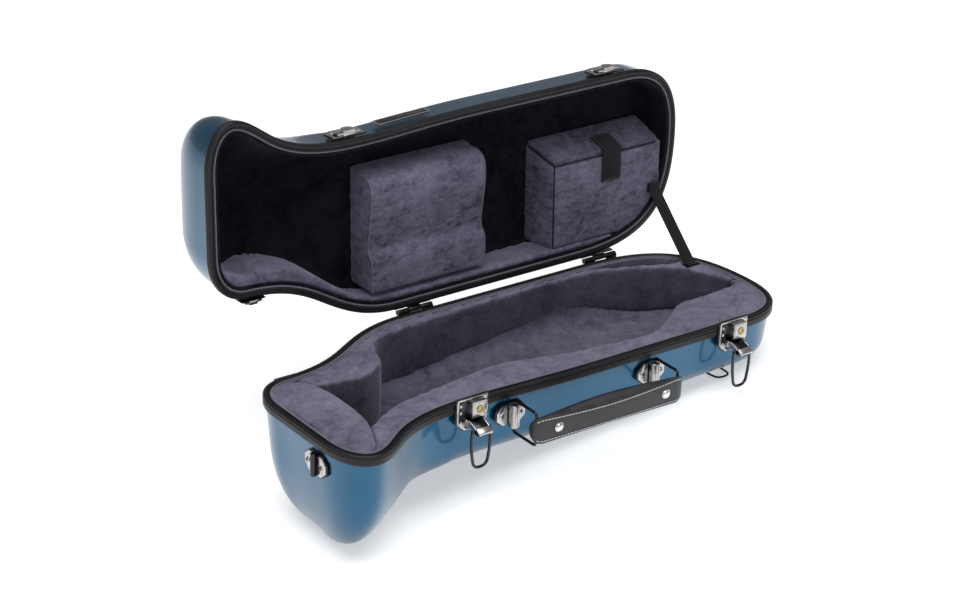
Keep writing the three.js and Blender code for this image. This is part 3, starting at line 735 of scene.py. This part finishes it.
# ---- padding cut from the foam ----
def carried(outline, low, high, axes):
    """Points and faces of an outline carried from low to high. The first two of the three axes are the
    outline's, and the third is the carry's."""
    n = len(outline)
    order = ["xyz".index(axis) for axis in axes]
    points = np.zeros((2 * n, 3))
    points[:, order[0]] = [p[0] for p in outline] * 2
    points[:, order[1]] = [p[1] for p in outline] * 2
    points[:, order[2]] = [low] * n + [high] * n
    sides = [(i, (i + 1) % n, n + (i + 1) % n, n + i) for i in range(n)]
    return points, [tuple(range(n)), tuple(range(n, 2 * n)), *sides]


def combine(item, how, outline, low, high, half="base", axes="xyz"):
    """Cuts an item with an outline carried from low to high."""
    cutter = make_object("cutter", *carried(outline, low, high, axes), "plush", half)
    even_faces(cutter)
    step = item.modifiers.new("combine", "BOOLEAN")
    step.operation = how
    step.object = cutter
    step.solver = "MANIFOLD"
    settle(item)
    bpy.data.objects.remove(cutter)


def keep_inside(item, *cutter):
    combine(item, "INTERSECT", *cutter)


def cut_away(item, *cutter):
    combine(item, "DIFFERENCE", *cutter)


def pad(item, name, look, body, replaces, voxel=2.2, rounds=5):
    """A soft piece from a sharp solid: remeshed, then its edges rounded off."""
    item.name = name
    grain = item.modifiers.new("grain", "REMESH")
    grain.mode = "VOXEL"
    grain.voxel_size = voxel / 1000
    settle(item)
    relax(item, rounds)
    item.data.materials.clear()
    item.data.materials.append(LOOKS[look])
    finish_piece(item, look, body, [replaces], 180)
    return item


def crown(item, middle, half_size, rise):
    """Lifts the top of a pad into a low crown, highest in the middle of an oval."""
    co = read_points(item)
    turned = np.array(CASE.to_3x3())
    local = (co - np.array(CASE.translation)) @ turned * 1000
    off = (((local[:, :2] - middle) / half_size) ** 2).sum(axis=1)
    lift = rise * np.clip(1 - off, 0, 1) * ease(-12, -2, local[:, 2])
    write_points(item, co + np.outer(lift / 1000, turned[:, 2]))


FAR = 320  # past the ends of the case
DOWN, UP = -200, 10  # past the base's floor and rim
BELL_PAD = smooth_line(
    [(-248, 52), (-241, 39), (-228, 27), (-220, 10), (-216, -15), (-218, -50), (-223, -75), (-236, -106),
     (-250, -125)],
    60,
)
SLOT_REAR = smooth_line(
    [(-236, 40), (-230, 20), (-217, 10), (-200, 4), (-184, 3), (-167, 7), (-152, 14), (-142, 22), (-137, 34),
     (-133, 46), (-127, 57), (-115, 66), (-100, 70)],
    70,
)
REAR_EDGE = smooth_line(
    [(-100, 70), (-40, 74), (40, 77), (120, 79), (165, 74), (204, 58), (241, 36), (262, -8)], 70
)
FRONT_EDGE = smooth_line(
    [(262, -24), (212, -28), (182, -29), (155, -46), (119, -66), (76, -65), (34, -60), (9, -55), (-19, -47),
     (-49, -41), (-85, -40), (-122, -42), (-154, -48), (-176, -56), (-202, -68), (-222, -80)],
    100,
)
CAVITY = [(-226, -76), (-222, -20), (-239, 44), *SLOT_REAR[1:], *REAR_EDGE[1:], *FRONT_EDGE]
POCKET = smooth_line(
    [(160, 86), (177, 76), (206, 65.5), (234, 52.5), (249, 51), (247, 63), (226, 76), (196, 85), (160, 86)],
    50,
)[:-1]
FRONT_HALF = [(-260, -150), (300, -150), (300, -14.4), (240, -14.4), (0, -30), (-200, -60), (-235, -68)]
REAR_HALF = [(-260, 110), (-260, 20), (-150, 0), (0, 20), (240, -14), (300, -14), (300, 110)]
HINGE_PAD = smooth_line(
    [(-262, 12), (-244, 21), (-225, 20), (-204, 22), (-178, 30), (-161, 40), (-140, 56), (-120, 70),
     (-100, 76), (-80, 77.3), (150, 77.5)],
    110,
)
# The brace's face, as (y, height).
BRACE = [(-46, 20), (-42, 9), (-34, 3.5), (-18, 3), (2, 5.5), (24, 9), (33, 8.5), (39, 4), (46, 2.2)]
BRACE_LEFT, BRACE_RIGHT = -99, 37
# How far in from the rim's edge, how far above the bottom and how high the foam of each half is.
FOAM = {Base: (FOAM_IN - 3, FOAM_RISE, 1.6), Lid: (FOAM_IN - 1, FOAM_RISE - 0.4, 1.5)}


def foam(name, form):
    """A half filled with foam, to be cut to shape."""
    return bowl_object(name, form, *FOAM[form], "plush", (8, 3), filled=True)[0]


def bell_end_pillow():
    leaf = foam("leaf", Base)
    keep_inside(leaf, [(-FAR, 80), *BELL_PAD, (-FAR, -150)], DOWN, UP)
    pillow = pad(leaf, "bell_end_pillow", "plush", "base", "bell_end_pad")
    crown(pillow, (-250, -40), (34, 78), 3.2)


def bolsters():
    """The padding along the front and the rear, cut apart at both ends of the cavity."""
    rear = foam("bolsters", Base)
    cut_away(rear, CAVITY, DOWN, UP)
    cut_away(rear, [(-FAR, 80), *(BELL_PAD + [0.5, 0]), (-FAR, -150)], DOWN, UP)
    front = rear.copy()
    front.data = rear.data.copy()
    scene.collection.objects.link(front)
    keep_inside(front, FRONT_HALF, DOWN, UP)
    pad(front, "front_pad", "plush", "base", "front_bolster")
    keep_inside(rear, REAR_HALF, DOWN, UP)
    cut_away(rear, POCKET, -34, UP)
    pad(rear, "rear_pad", "plush", "base", "rear_bolster")


def lid_pads():
    ledge = foam("ledge", Lid)
    keep_inside(ledge, [(-FAR, 6), *HINGE_PAD, (FAR, 77.5), (FAR, 120), (-FAR, 120)], 0, 200, "lid")
    pad(ledge, "lid_ledge", "pad_plush", "lid", "lid_hinge_pad")
    side = [(-50, 60), *smooth_line([(-48.5, 34), *BRACE], 50), (73, 2.2), (73, 60)]
    brace = foam("brace", Lid)
    keep_inside(brace, side, BRACE_LEFT, BRACE_RIGHT, "lid", "yzx")
    pad(brace, "lid_brace", "pad_plush", "lid", "lid_brace_pad", 1.9, 4)


bell_end_pillow()
bolsters()
lid_pads()

# ---- accessory box: its left and top walls follow the lid's slope ----
BOX_LEFT, BOX_RIGHT, BOX_TOP, BOX_FRONT, BOX_DEEP = 123, 262, -12, 3, 60
BOX_WALL = 6


def box_left(z):
    return BOX_LEFT - 0.21 * (z - BOX_FRONT)


def box_top(z):
    return BOX_TOP - 0.395 * (z - BOX_FRONT)


def box_room(low, high, inset):
    """The box's plan between two heights, and how far to carry it, for a cutter."""
    left = [(box_left(z) + inset, z) for z in (high, low)]
    return [*left, (BOX_RIGHT, low), (BOX_RIGHT, high)], -80, 120, "lid", "xzy"


def accessory_box():
    box = foam("box", Lid)
    keep_inside(box, *box_room(BOX_FRONT, BOX_DEEP, 0))
    side = [(box_top(BOX_FRONT), BOX_FRONT), (77, BOX_FRONT), (77, BOX_DEEP), (box_top(BOX_DEEP), BOX_DEEP)]
    keep_inside(box, side, 100, BOX_RIGHT, "lid", "yzx")
    cut_away(box, *box_room(BOX_FRONT + BOX_WALL, 100, BOX_WALL))
    pad(box, "box_panels", "pad_plush", "lid", "accessory_box", 1.5, 3)
    flap = foam("flap", Lid)
    side = [(box_top(z) - off, z) for z, off in ((3, 0.5), (40, 0.5), (40, 5.4), (3, 5.4))]
    keep_inside(flap, side, 100, BOX_RIGHT - 5, "lid", "yzx")
    keep_inside(flap, *box_room(BOX_FRONT, BOX_DEEP, 0))
    # the flap takes the darker plush, painted shade for its top
    pad(flap, "box_lid", "flap_plush_painted_shade", "box_flap", "accessory_flap", 1.3, 2)


accessory_box()


# ---- cords sewn into the seams ----
def seam_cord(name, path, radius, look):
    """A thin round cord in the lid, along an open line of points."""
    along = np.gradient(path, axis=0)
    along /= np.linalg.norm(along, axis=1)[:, None]
    guide = np.cross(along[0], [0.31, 0.52, 0.79])
    turns = 2 * np.pi * np.arange(8)[:, None] / 8
    rings = []
    for at, way in zip(path, along):
        guide = guide - way * guide.dot(way)
        guide /= np.linalg.norm(guide)
        rings.append(at + radius * (np.cos(turns) * guide + np.sin(turns) * np.cross(way, guide)))
    item = make_object(name, np.vstack(rings), tube_faces(len(path), 8), look, "lid")
    even_faces(item)
    finish_piece(item, look, "lid", (), 80)


def seam_cords():
    for name, x in (("brace_cord_left", BRACE_LEFT + 0.6), ("brace_cord_right", BRACE_RIGHT - 0.6)):
        face = [(x, y, h + 0.5) for y, h in (*BRACE, (60, 2.2), (72, 2.6))]
        seam_cord(name, smooth_line(face, 60), 0.6, "piping")
    corner = (BOX_LEFT + 0.7, BOX_TOP + 0.7, BOX_FRONT + 0.6)
    for name, path in (
        ("box_cord_front", [corner, (190, BOX_TOP + 0.6, 3.5), (255, BOX_TOP + 0.7, 3.6)]),
        ("box_cord_down", [corner, (BOX_LEFT + 0.6, 30, 3.5), (BOX_LEFT + 0.7, 75, 3.6)]),
        ("box_cord_back", [(box_left(z) + 0.7, box_top(z) + 0.7, z) for z in (3.6, 20, 38)]),
    ):
        seam_cord(name, smooth_line(path, 30), 0.9, "rubber")


seam_cords()


# ---- fittings ----
class Fitting:
    """The parts of a metal or leather fitting, in its own frame: x along the wall, -y outwards, z up."""

    def __init__(self):
        self.points = []
        self.faces = []

    def add(self, points, faces):
        start = len(self.points)
        self.points += [tuple(p) for p in points]
        self.faces += [tuple(start + i for i in face) for face in faces]

    def plate(self, outline, near, far, axes="xzy"):
        """An outline carried from near to far."""
        self.add(*carried(outline, near, far, axes))

    def block(self, x, y, z):
        self.plate([(x[0], z[0]), (x[1], z[0]), (x[1], z[1]), (x[0], z[1])], *y)

    def turned(self, profile, start, end, sides=20):
        """A turned shape: (radius, distance along) pairs on the line from start towards end."""
        start, end = Vector(start), Vector(end)
        along = (end - start).normalized()
        across = along.orthogonal().normalized()
        other = along.cross(across)
        points = []
        for radius, distance in profile:
            for i in range(sides):
                turn = 2 * math.pi * i / sides
                off = across * math.cos(turn) + other * math.sin(turn)
                points.append(start + along * distance + off * radius)
        self.add(points, tube_faces(len(profile), sides))

    def rod(self, radius, start, end, sides=20):
        length = (Vector(end) - Vector(start)).length
        edge = min(0.3, radius * 0.2)
        profile = [(radius - edge, 0), (radius, edge), (radius, length - edge), (radius - edge, length)]
        self.turned(profile, start, end, sides)

    def dome(self, radius, height, at, towards=(0, -1, 0)):
        profile = [(radius, 0), (radius, height * 0.22)]
        for step in range(1, 5):
            turn = math.pi / 2 * step / 5
            profile.append((radius * math.cos(turn), height * (0.22 + 0.78 * math.sin(turn))))
        self.turned(profile, at, Vector(at) + Vector(towards), 24)

    def wire(self, path, radius, sides=10):
        """Wire bent to a flat closed loop through the given points."""
        p = np.array(path, dtype=float)
        along = np.roll(p, -1, axis=0) - np.roll(p, 1, axis=0)
        along /= np.linalg.norm(along, axis=1)[:, None]
        middle = p - p.mean(axis=0)
        flat = np.cross(middle, along).sum(axis=0)
        flat /= np.linalg.norm(flat)
        across = np.cross(along, flat)
        turns = 2 * np.pi * np.arange(sides)[:, None] / sides
        rings = p[:, None] + radius * (np.cos(turns) * across[:, None] + np.sin(turns) * flat)
        self.add(rings.reshape(-1, 3), skin_faces(len(p), sides, closed=True))

    def build(self, name, look, body, replaces=(), to_case=lambda p: p, half="base", edge=0.25, angle=35):
        item = make_object(name, to_case(np.array(self.points)), self.faces, look, half)
        even_faces(item)
        if edge:
            bevelled(item, edge)
        return finish_piece(item, look, body, replaces, angle)


def rounded_loop(corners, steps=6):
    """Points round a loop of rounded corners, given as (a, b, radius)."""
    loop = []
    n = len(corners)
    for i, (a, b, radius) in enumerate(corners):
        corner = np.array([a, b], dtype=float)
        towards = [np.array(corners[k][:2], dtype=float) - corner for k in ((i - 1) % n, (i + 1) % n)]
        start, end = [corner + radius * way / np.linalg.norm(way) for way in towards]
        for t in np.linspace(0, 1, steps):
            loop.append((1 - t) ** 2 * start + 2 * t * (1 - t) * corner + t**2 * end)
    return np.array(loop)


def wall_reach(x, half, side):
    """How far out the rim comes within half a fitting's width of x, on the front (-1) or the back (1)."""
    reach = [edge_y(x + d, side) for d in (-half, -half / 2, 0, half / 2, half)]
    return max(reach) if side > 0 else min(reach)


def grown(outline, by):
    """An outline moved out from its middle by about the given distance."""
    p = np.array(outline, dtype=float)
    middle = (p.max(axis=0) + p.min(axis=0)) / 2
    size = (p.max(axis=0) - p.min(axis=0)) / 2
    return [tuple(middle + (q - middle) * (size + by) / size) for q in p]


def framed(fitting, outline, band, near, far):
    """A flat frame: the outline's edge strip of the given width."""
    inner = grown(outline, -band)
    n = len(outline)
    rings = []
    for shape, depth in ((outline, near), (outline, far), (inner, far), (inner, near)):
        rings.append([(a, depth, b) for a, b in shape])
    points = [p for ring in rings for p in ring]
    fitting.add(points, skin_faces(4, n, closed=True))


# ---- latches, about a middle that sits LATCH_UP above the parting plane ----
LATCH_UP = 5
PIVOT = (-6, -23.5)  # the lever's pin, as (y, z)
BAIL_AXIS = (-16.5, -26.5)
BAIL_LENGTH = 40
LATCH_FACE = [(-17, -0.8), (-17, -25), (-9, -33), (9, -33), (17, -25), (17, -0.8)]
KEEPER_FACE = [(-19, 1), (19, 1), (19, 17), (12, 23), (-12, 23), (-19, 17)]


def latch_body(build, name, keyed):
    backing = Fitting()
    backing.plate(grown(LATCH_FACE, 1.1), -1.1, 0)
    backing.block((-13, 13), (-1, 2.4), (-31, -16))
    backing.block((-13.5, 12), (-2.4, -1), (-19, -3))
    backing.block((-8, 8), (-4.4, -1), (-31, -21.5))
    build(backing, "backing", "black_steel", replaces=[f"{name}_plate"], edge=0.4)
    metal = Fitting()
    framed(metal, LATCH_FACE, 2.1, -2.1, -1)
    metal.block((-17, 17), (-3, -1), (-2.4, -0.7))
    metal.block((11.6, 16.9), (-3, -1), (-19, -1))
    metal.plate([(-16.5, -24), (-16.5, -27), (-9, -32.5), (9, -32.5), (16.5, -27), (16.5, -24)], -1.9, -1)
    for ear in (-10.2, 8.6):
        side = [(-1, -19.6), (-6.5, -19.8), (-8.8, -22), (-8.8, -25.2), (-6.5, -27.4), (-1, -27.6)]
        metal.plate(side, ear, ear + 1.6, "yzx")
    for px, pz in ((-12.8, -7.5), (-12.8, -14.5), (-12.2, -24.6), (12.2, -25.2), (0, -29.6)):
        metal.dome(1.7, 1.2, (px, -1.9, pz))
    if keyed:
        metal.block((-5, 11), (-9.5, -2.2), (-18.8, -2.8))
        metal.block((-3.9, 9.9), (-9.9, -9.2), (-17.6, -4.0))
    build(metal, "metal", "steel", replaces=[f"{name}_lock"] if keyed else (), edge=0.35)
    if keyed:
        ring = Fitting()
        profile = [(4.0, 0), (4.0, 0.7), (3.7, 1.0), (2.6, 1.0), (2.3, 0.6), (2.3, 0)]
        ring.turned(profile, (3, -9.8, -10.5), (3, -12, -10.5), 28)
        build(ring, "key_ring", "brass", edge=0)


def latch_lever(build, name, body):
    lever = Fitting()
    arm = [(-3.4, -26), (-3.4, -21), (-8, -20.3), (-16, -23.2)]
    arm += [(-24, -27.8), (-24.4, -29.6), (-17, -30), (-9, -27)]
    lever.plate(arm, -6.6, 6.6, "yzx")
    foot = [(-6.6, -14), (6.6, -14), (8.2, -17.5), (8.2, -22.6), (4.4, -25.2)]
    foot += [(-4.4, -25.2), (-8.2, -22.6), (-8.2, -17.5)]
    lever.plate(foot, -30.6, -29.2, "xyz")
    build(lever, "lever_arm", "black_steel", f"{body}_lever", [f"{name}_lever"], 0.7)
    trim = Fitting()
    side = [(-4, -25.6), (-4, -21.4), (-8, -20.4), (-16, -23.2), (-19, -25), (-17, -29), (-9, -26.6)]
    for end in (-8.2, 6.7):
        trim.plate(side, end, end + 1.5, "yzx")
    trim.plate([(-19, -24.4), (-24.4, -27.5), (-24.9, -29.7), (-19.4, -30.2)], -7.6, 7.6, "yzx")
    build(trim, "lever_trim", "steel", f"{body}_lever", (), 0.45)
    pin = Fitting()
    pin.rod(1.2, (-10.9, *PIVOT), (10.9, *PIVOT))
    for end, way in ((-10.6, -1), (10.6, 1)):
        pin.dome(1.9, 0.8, (end, *PIVOT), (way, 0, 0))
    build(pin, "pin", "steel", "base", [f"{name}_lever_pin"], 0)


def latch_bail(build, name, body):
    right = [(10, 0, 1.6), (11, -18, 9), (7.5, -BAIL_LENGTH, 7)]
    left = [(-a, b, radius) for a, b, radius in right]
    bail = Fitting()
    loop = rounded_loop([left[0], *right, *left[:0:-1]])
    bail.wire([(a, BAIL_AXIS[0], BAIL_AXIS[1] + b) for a, b in loop], 1.5)
    build(bail, "bail_wire", "black_steel", f"{body}_bail", [f"{name}_bail"], 0)


def latch_keeper(build, name):
    keeper = Fitting()
    keeper.plate(grown(KEEPER_FACE, 0.2), -1.2, 0)
    keeper.block((-14, 14), (-1, 2.4), (12, 21))
    keeper.block((-14, 14), (-3.6, -1), (2.5, 9.5))
    build(keeper, "keeper_block", "black_steel", "lid", [f"{name}_keeper"], 0.5, "lid")
    hook = Fitting()
    hook.plate(grown(KEEPER_FACE, -1.4), -2.1, -1.1)
    hook.block((-13, 13), (-5, -3.4), (1.6, 4.2))
    arc = [(-6.8 * math.cos(t), 6 + 5.6 * math.sin(t)) for t in np.linspace(0, math.pi, 13)]
    hook.plate([(-6.8, 2), *arc, (6.8, 2)], -7.4, -5.6)
    hook.block((-6.4, 6.4), (-7, -1), (1.6, 3.4))
    for px in (-12.5, 12.5):
        hook.dome(1.8, 1.2, (px, -2, 13.5))
    build(hook, "keeper_hook", "steel", "lid", (), 0.35, "lid")


def latch(name, x, side, keyed, size=1.0, up=LATCH_UP):
    """A latch at x on the front (-1) or the hinge side (1), with its keeper on the lid."""
    y = wall_reach(x, 20 * size, side) + side * 0.6
    body = name.replace("latch_", "")

    def to_case(p):
        return np.column_stack([x - side * size * p[:, 0], y - side * size * p[:, 1], size * p[:, 2] + up])

    def build(fitting, part, look, rides="base", replaces=(), edge=0.25, half="base"):
        fitting.build(f"{name}_{part}", look, rides, replaces, to_case, half, edge)

    latch_body(build, name, keyed)
    latch_lever(build, name, body)
    latch_bail(build, name, body)
    latch_keeper(build, name)


latch("latch_left", -121, -1, True)
latch("latch_right", 193, -1, True)
latch("latch_bell", -235, 1, False, 0.7, -2)

# ---- lugs and carrying handle ----
LUG_FACE = [(-17, -4.5), (-10, -10.5), (10, -10.5), (17, -4.5)]
LUG_FACE += [(-a, -b) for a, b in LUG_FACE]
BARREL = 7  # how far out the handle's rings hang
LUG_ROUND = 4.2
RING_OUT, RING_HALF = 33, 16.5
BELL_END, BELL_LUG_Y = -280, -75


def ring_lug(name, to_case, out=BARREL, radius=LUG_ROUND, middle_look="steel"):
    """A lug of two screwed-down halves with a barrel between them, ribbed if it is a thick one."""
    # The black backing stands out a little past the halves; its black rim is painted shadow, the outline the lug
    # casts on the shell.
    backing = Fitting()
    backing.plate(grown(LUG_FACE, 0.7), -0.9, 0)
    backing.build(f"{name}_backing", "black_steel", "base", [name], to_case, edge=0.3)
    metal = Fitting()
    near = radius + 0.5
    for side in (-1, 1):
        half = [(near, -10), (9.6, -10), (16.3, -4.2), (16.3, 4.2), (9.6, 10), (near, 10)]
        metal.plate([(side * a, b) for a, b in half], -2.2, -0.8)
        metal.dome(2.6, 1.4, (side * 11, -2.1, 0))
    metal.build(f"{name}_halves", "steel", "base", (), to_case, edge=0.45)
    barrel = Fitting()
    barrel.block((-radius * 0.85, radius * 0.85), (-out, -0.8), (-11.4, 11.4))
    barrel.rod(radius, (0, -out, -11.5), (0, -out, 11.5), 28)
    if radius == LUG_ROUND:
        for turn in (-0.9, -0.3, 0.3, 0.9):
            at = (4.3 * math.sin(turn), -out - 4.3 * math.cos(turn))
            barrel.rod(0.75, (*at, -11.3), (*at, 11.3), 10)
    barrel.build(f"{name}_barrel", middle_look, "base", (), to_case, edge=0.3)
    slots = Fitting()
    for side in (-1, 1):
        for a, b in ((1.7, 0.35), (0.35, 1.7)):
            slots.block((side * 11 - a, side * 11 + a), (-3.7, -2.6), (-b, b))
    slots.build(f"{name}_screws", "black_steel", "base", (), to_case, edge=0)


def shell_side(x):
    return wall_reach(x, 19, -1) + SHELL_IN + 0.1


def on_bell_end(p):
    return np.column_stack([p[:, 1] + BELL_END + SHELL_IN - 0.1, BELL_LUG_Y - p[:, 0], p[:, 2] + LUG_Z])


LEFT_LUG = (-74.5, shell_side(-74.5))
RIGHT_LUG = (92.5, shell_side(92.5))
for side, at in (("left", LEFT_LUG), ("right", RIGHT_LUG)):
    ring_lug(f"handle_lug_{side}", lambda p, at=at: p + [*at, LUG_Z])
# Its barrel is black steel, painted shade for the dark slot under the bridge.
ring_lug("bell_end_lug", on_bell_end, 4.2, 2.6, "black_steel")
for side, at in (("left", LEFT_LUG), ("right", RIGHT_LUG)):
    ring = Fitting()
    corners = [(0, RING_HALF, 3), (0, -RING_HALF, 3), (-RING_OUT, -RING_HALF, 3), (-RING_OUT, RING_HALF, 3)]
    ring.wire([(at[0], at[1] - BARREL + a, LUG_Z + b) for a, b in rounded_loop(corners, 5)], 1.5)
    ring.build(f"handle_ring_{side}_wire", "black_steel", f"{side}_ring", [f"handle_ring_{side}"], edge=0)

GRIP_FROM, GRIP_TO = (np.array([x, y - BARREL - RING_OUT]) for x, y in (LEFT_LUG, RIGHT_LUG))
GRIP_SPAN = GRIP_TO[0] - GRIP_FROM[0]
GRIP_SLANT = math.atan2(GRIP_TO[1] - GRIP_FROM[1], GRIP_SPAN)
GRIP_OVER = 4.5  # how far the grip reaches past its rings
GRIP_LENGTH = GRIP_SPAN + 2 * GRIP_OVER
STITCH, STITCH_STEP = 2.7, 3.7


def turned_by(a, b, angle):
    cos, sin = math.cos(angle), math.sin(angle)
    return a * cos - b * sin, a * sin + b * cos


def grip_at(s):
    """Place, half thickness and half height of the grip at a fraction s of its length."""
    waist = math.sin(math.pi * s) ** 2
    high = 11.2 + 3.2 * abs(2 * s - 1) ** 1.6
    return GRIP_LENGTH * s - GRIP_OVER, 2 * waist, 5 + 5.5 * waist**0.7, high


def on_grip(p):
    x, y = turned_by(p[:, 0], p[:, 1], GRIP_SLANT)
    return np.column_stack([GRIP_FROM[0] + x, GRIP_FROM[1] + y, p[:, 2] + LUG_Z])


def on_section(s, a, b):
    """A point of the grip: a says how far back and b how high, as shares of the half sizes."""
    x, y, thick, high = grip_at(s)
    end = max(0, 1 - min(s, 1 - s) * GRIP_LENGTH / 11)
    round_off = 1 - math.sqrt(max(0, 1 - end * end))
    if a > -0.65:  # the roll stands higher than the front in the hand, and lower at the ends
        return x, y + a * thick, b * (11.6 + 3.2 * math.sin(math.pi * s) - 3.2 * round_off)
    return x, y + a * thick + 4.2 * round_off, b * (high - 6.5 * round_off)


def grip():
    """A flat stitched front, rounded back at its ends, and a padded roll behind it."""
    turns = np.linspace(0.1, math.pi - 0.1, 17)
    back = [(-0.5 + 1.5 * math.sin(turn) ** 0.7, 0.97 * math.cos(turn)) for turn in turns]
    front = [(-1.0, -0.9), (-1.03, -0.45), (-1.04, 0), (-1.03, 0.45), (-1.0, 0.9)]
    edge = [(-0.92, 0.985), (-0.8, 1), (-0.68, 0.94)]
    section = [*front, *edge, *back, *[(a, -b) for a, b in edge[::-1]]]
    count = 60
    shares = [(1 - math.cos(math.pi * i / count)) / 2 for i in range(count + 1)]
    made = Fitting()
    made.add([on_section(s, a, b) for s in shares for a, b in section], tube_faces(count + 1, len(section)))
    made.build("grip_leather", "leather", "grip", ["handle_grip"], on_grip, edge=0.8, angle=50)

    stitches = Fitting()
    for edge in (-1, 1):
        for i in range(int(GRIP_LENGTH / STITCH_STEP) - 1):
            start = 2.6 + i * STITCH_STEP
            ends = [on_section(at / GRIP_LENGTH, -1.05, edge * 0.78) for at in (start, start + STITCH)]
            stitches.rod(0.4, *[(x, y - 0.1, z) for x, y, z in ends], 8)
    stitches.build("grip_stitches", "thread", "grip", (), on_grip, edge=0)
    rivets = Fitting()
    for s in (0.15, 0.87):
        x, y, thick = grip_at(s)[:3]
        rivets.dome(4.1, 2.6, (x, y - thick - 0.3, 0))
        rivets.turned([(4.8, 0), (4.8, 0.5), (4.4, 0.8)], (x, y - thick, 0), (x, y - thick - 2, 0), 28)
    rivets.build("grip_rivets", "silver", "grip", ["grip_rivet_left", "grip_rivet_right"], on_grip, edge=0)


grip()

# ---- hinges ----
PLATE = (95.3, 96.5)  # the hinge plates' two faces


def case_hinge(name, x):
    for half, up, spans in (("base", -1, ((-21, -7.3), (7.3, 21))), ("lid", 1, ((-7, 7),))):
        leaf = Fitting()
        leaf.block((x - 21, x + 21), PLATE, sorted((up * 3.1, up * 15)))
        for start, end in spans:
            leaf.block((x + start, x + end), PLATE, sorted((up * 0.2, up * 4)))
            leaf.rod(2.6, (x + start, HINGE_Y, 0), (x + end, HINGE_Y, 0), 24)
        for rivet in (-15, 0, 15):
            leaf.dome(1.9, 1.0, (x + rivet, 96.4, up * 9), (0, 1, 0))
        leaf.build(f"{name}_{half}_plate", "black_steel", half, [f"{name}_{half}_leaf"], half=half, edge=0.35)


case_hinge("hinge_left", -51)
case_hinge("hinge_right", 182)

# ---- accessory tab, stay strap and badge ----
def accessory_tab():
    """A stitched loop of webbing, folded over the edge of the box's flap."""
    tab = Fitting()
    side = [(box_top(z) - off, z) for z, off in ((22, 7.3), (2.2, 7.3), (1, 6.4))]
    side += [(16, 0.9), (16.6, 1.7), (16, 2.4)]
    side += [(box_top(z) - off, z) for z, off in ((2.5, 5.8), (22, 5.7))]
    tab.plate(side, 184, 208, "yzx")
    tab.build("flap_tab", "webbing", "box_flap", ["accessory_tab"], half="lid", edge=0.45)
    stitches = Fitting()
    for x in (185.6, 206.4):
        for i in range(5):
            start, end = ((x, box_top(z) - 7.4, z) for z in (3.6 + i * 3.8, 6.2 + i * 3.8))
            stitches.rod(0.28, start, end, 8)
    for i in range(5):
        stitches.rod(0.28, (187 + i * 4, 14.4, 0.85), (189.6 + i * 4, 14.4, 0.85), 8)
    stitches.build("flap_tab_stitches", "dark_thread", "box_flap", (), half="lid", edge=0)


STRAP_X = 253
STRAP_PATH = [(30.5, 0.5), (37.5, 0.6), (42.5, 4.2)]  # (y, height) of its stitched end and its first bend


def stay_strap():
    """Webbing, stitched flat under each rim and taut between them while the case is open."""
    path = to_row([(STRAP_X, y, h) for y, h in STRAP_PATH])
    held = to_row([(STRAP_X, y, -h) for y, h in reversed(STRAP_PATH)], "lid")
    line = smooth_line(np.vstack([path, held]), 90)
    along = np.gradient(line, axis=0)
    along /= np.linalg.norm(along, axis=1)[:, None]
    wide = np.array(CASE.to_3x3())[:, 0]
    out = np.cross(wide, along)
    section = [(-7, -0.35), (-6.6, -0.6), (6.6, -0.6), (7, -0.35)]
    section += [(-a, -b) for a, b in section]
    rings = np.array([line + a / 1000 * wide + b / 1000 * out for a, b in section]).transpose(1, 0, 2)
    faces = tube_faces(len(line), len(section))
    strap = make_object("stay_webbing", rings.reshape(-1, 3), faces, "webbing", place=False)
    even_faces(strap)
    round_shading(strap, 40)
    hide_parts("stay_strap")
    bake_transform(strap)


def on_badge(p):
    y, z = turned_by(p[:, 1], p[:, 2], -0.03)
    x, y = turned_by(p[:, 0], y, -0.04)
    return np.column_stack([x - 51, y - 94.1, z + 22.5])


def badge():
    """A blank plate in a silver frame."""
    plate = Fitting()
    plate.block((-30, 30), (-0.5, 0.35), (-7, 7))
    plate.build("badge_plate", "black_steel", "lid", ["badge"], on_badge, "lid", 0.3)
    frame_strip = Fitting()
    framed(frame_strip, [(-30, -7), (30, -7), (30, 7), (-30, 7)], 1.3, -1.0, -0.3)
    frame_strip.build("badge_frame", "silver", "lid", (), on_badge, "lid", 0.2)


accessory_tab()
stay_strap()
badge()


# ---- the rest of the frame takes its look ----
for name, item in frame["nodes"].items():
    slot_name = next(part["material_slot"] for part in frame["record"]["subparts"] if part["node"] == name)
    item.data.materials.clear()
    item.data.materials.append(LOOKS[slot_name])

place_camera()
add_floor()
light_world()
add_area("overhead", (-0.1, -0.35, 1.9), (2.2, 1.5), 38)
add_area("front", (-0.6, -2.0, 1.0), (1.6, 0.9), 7)
add_area("bell_side", (-1.9, -0.4, 0.9), (0.5, 1.2), 2)
scene.view_settings.view_transform = "Standard"
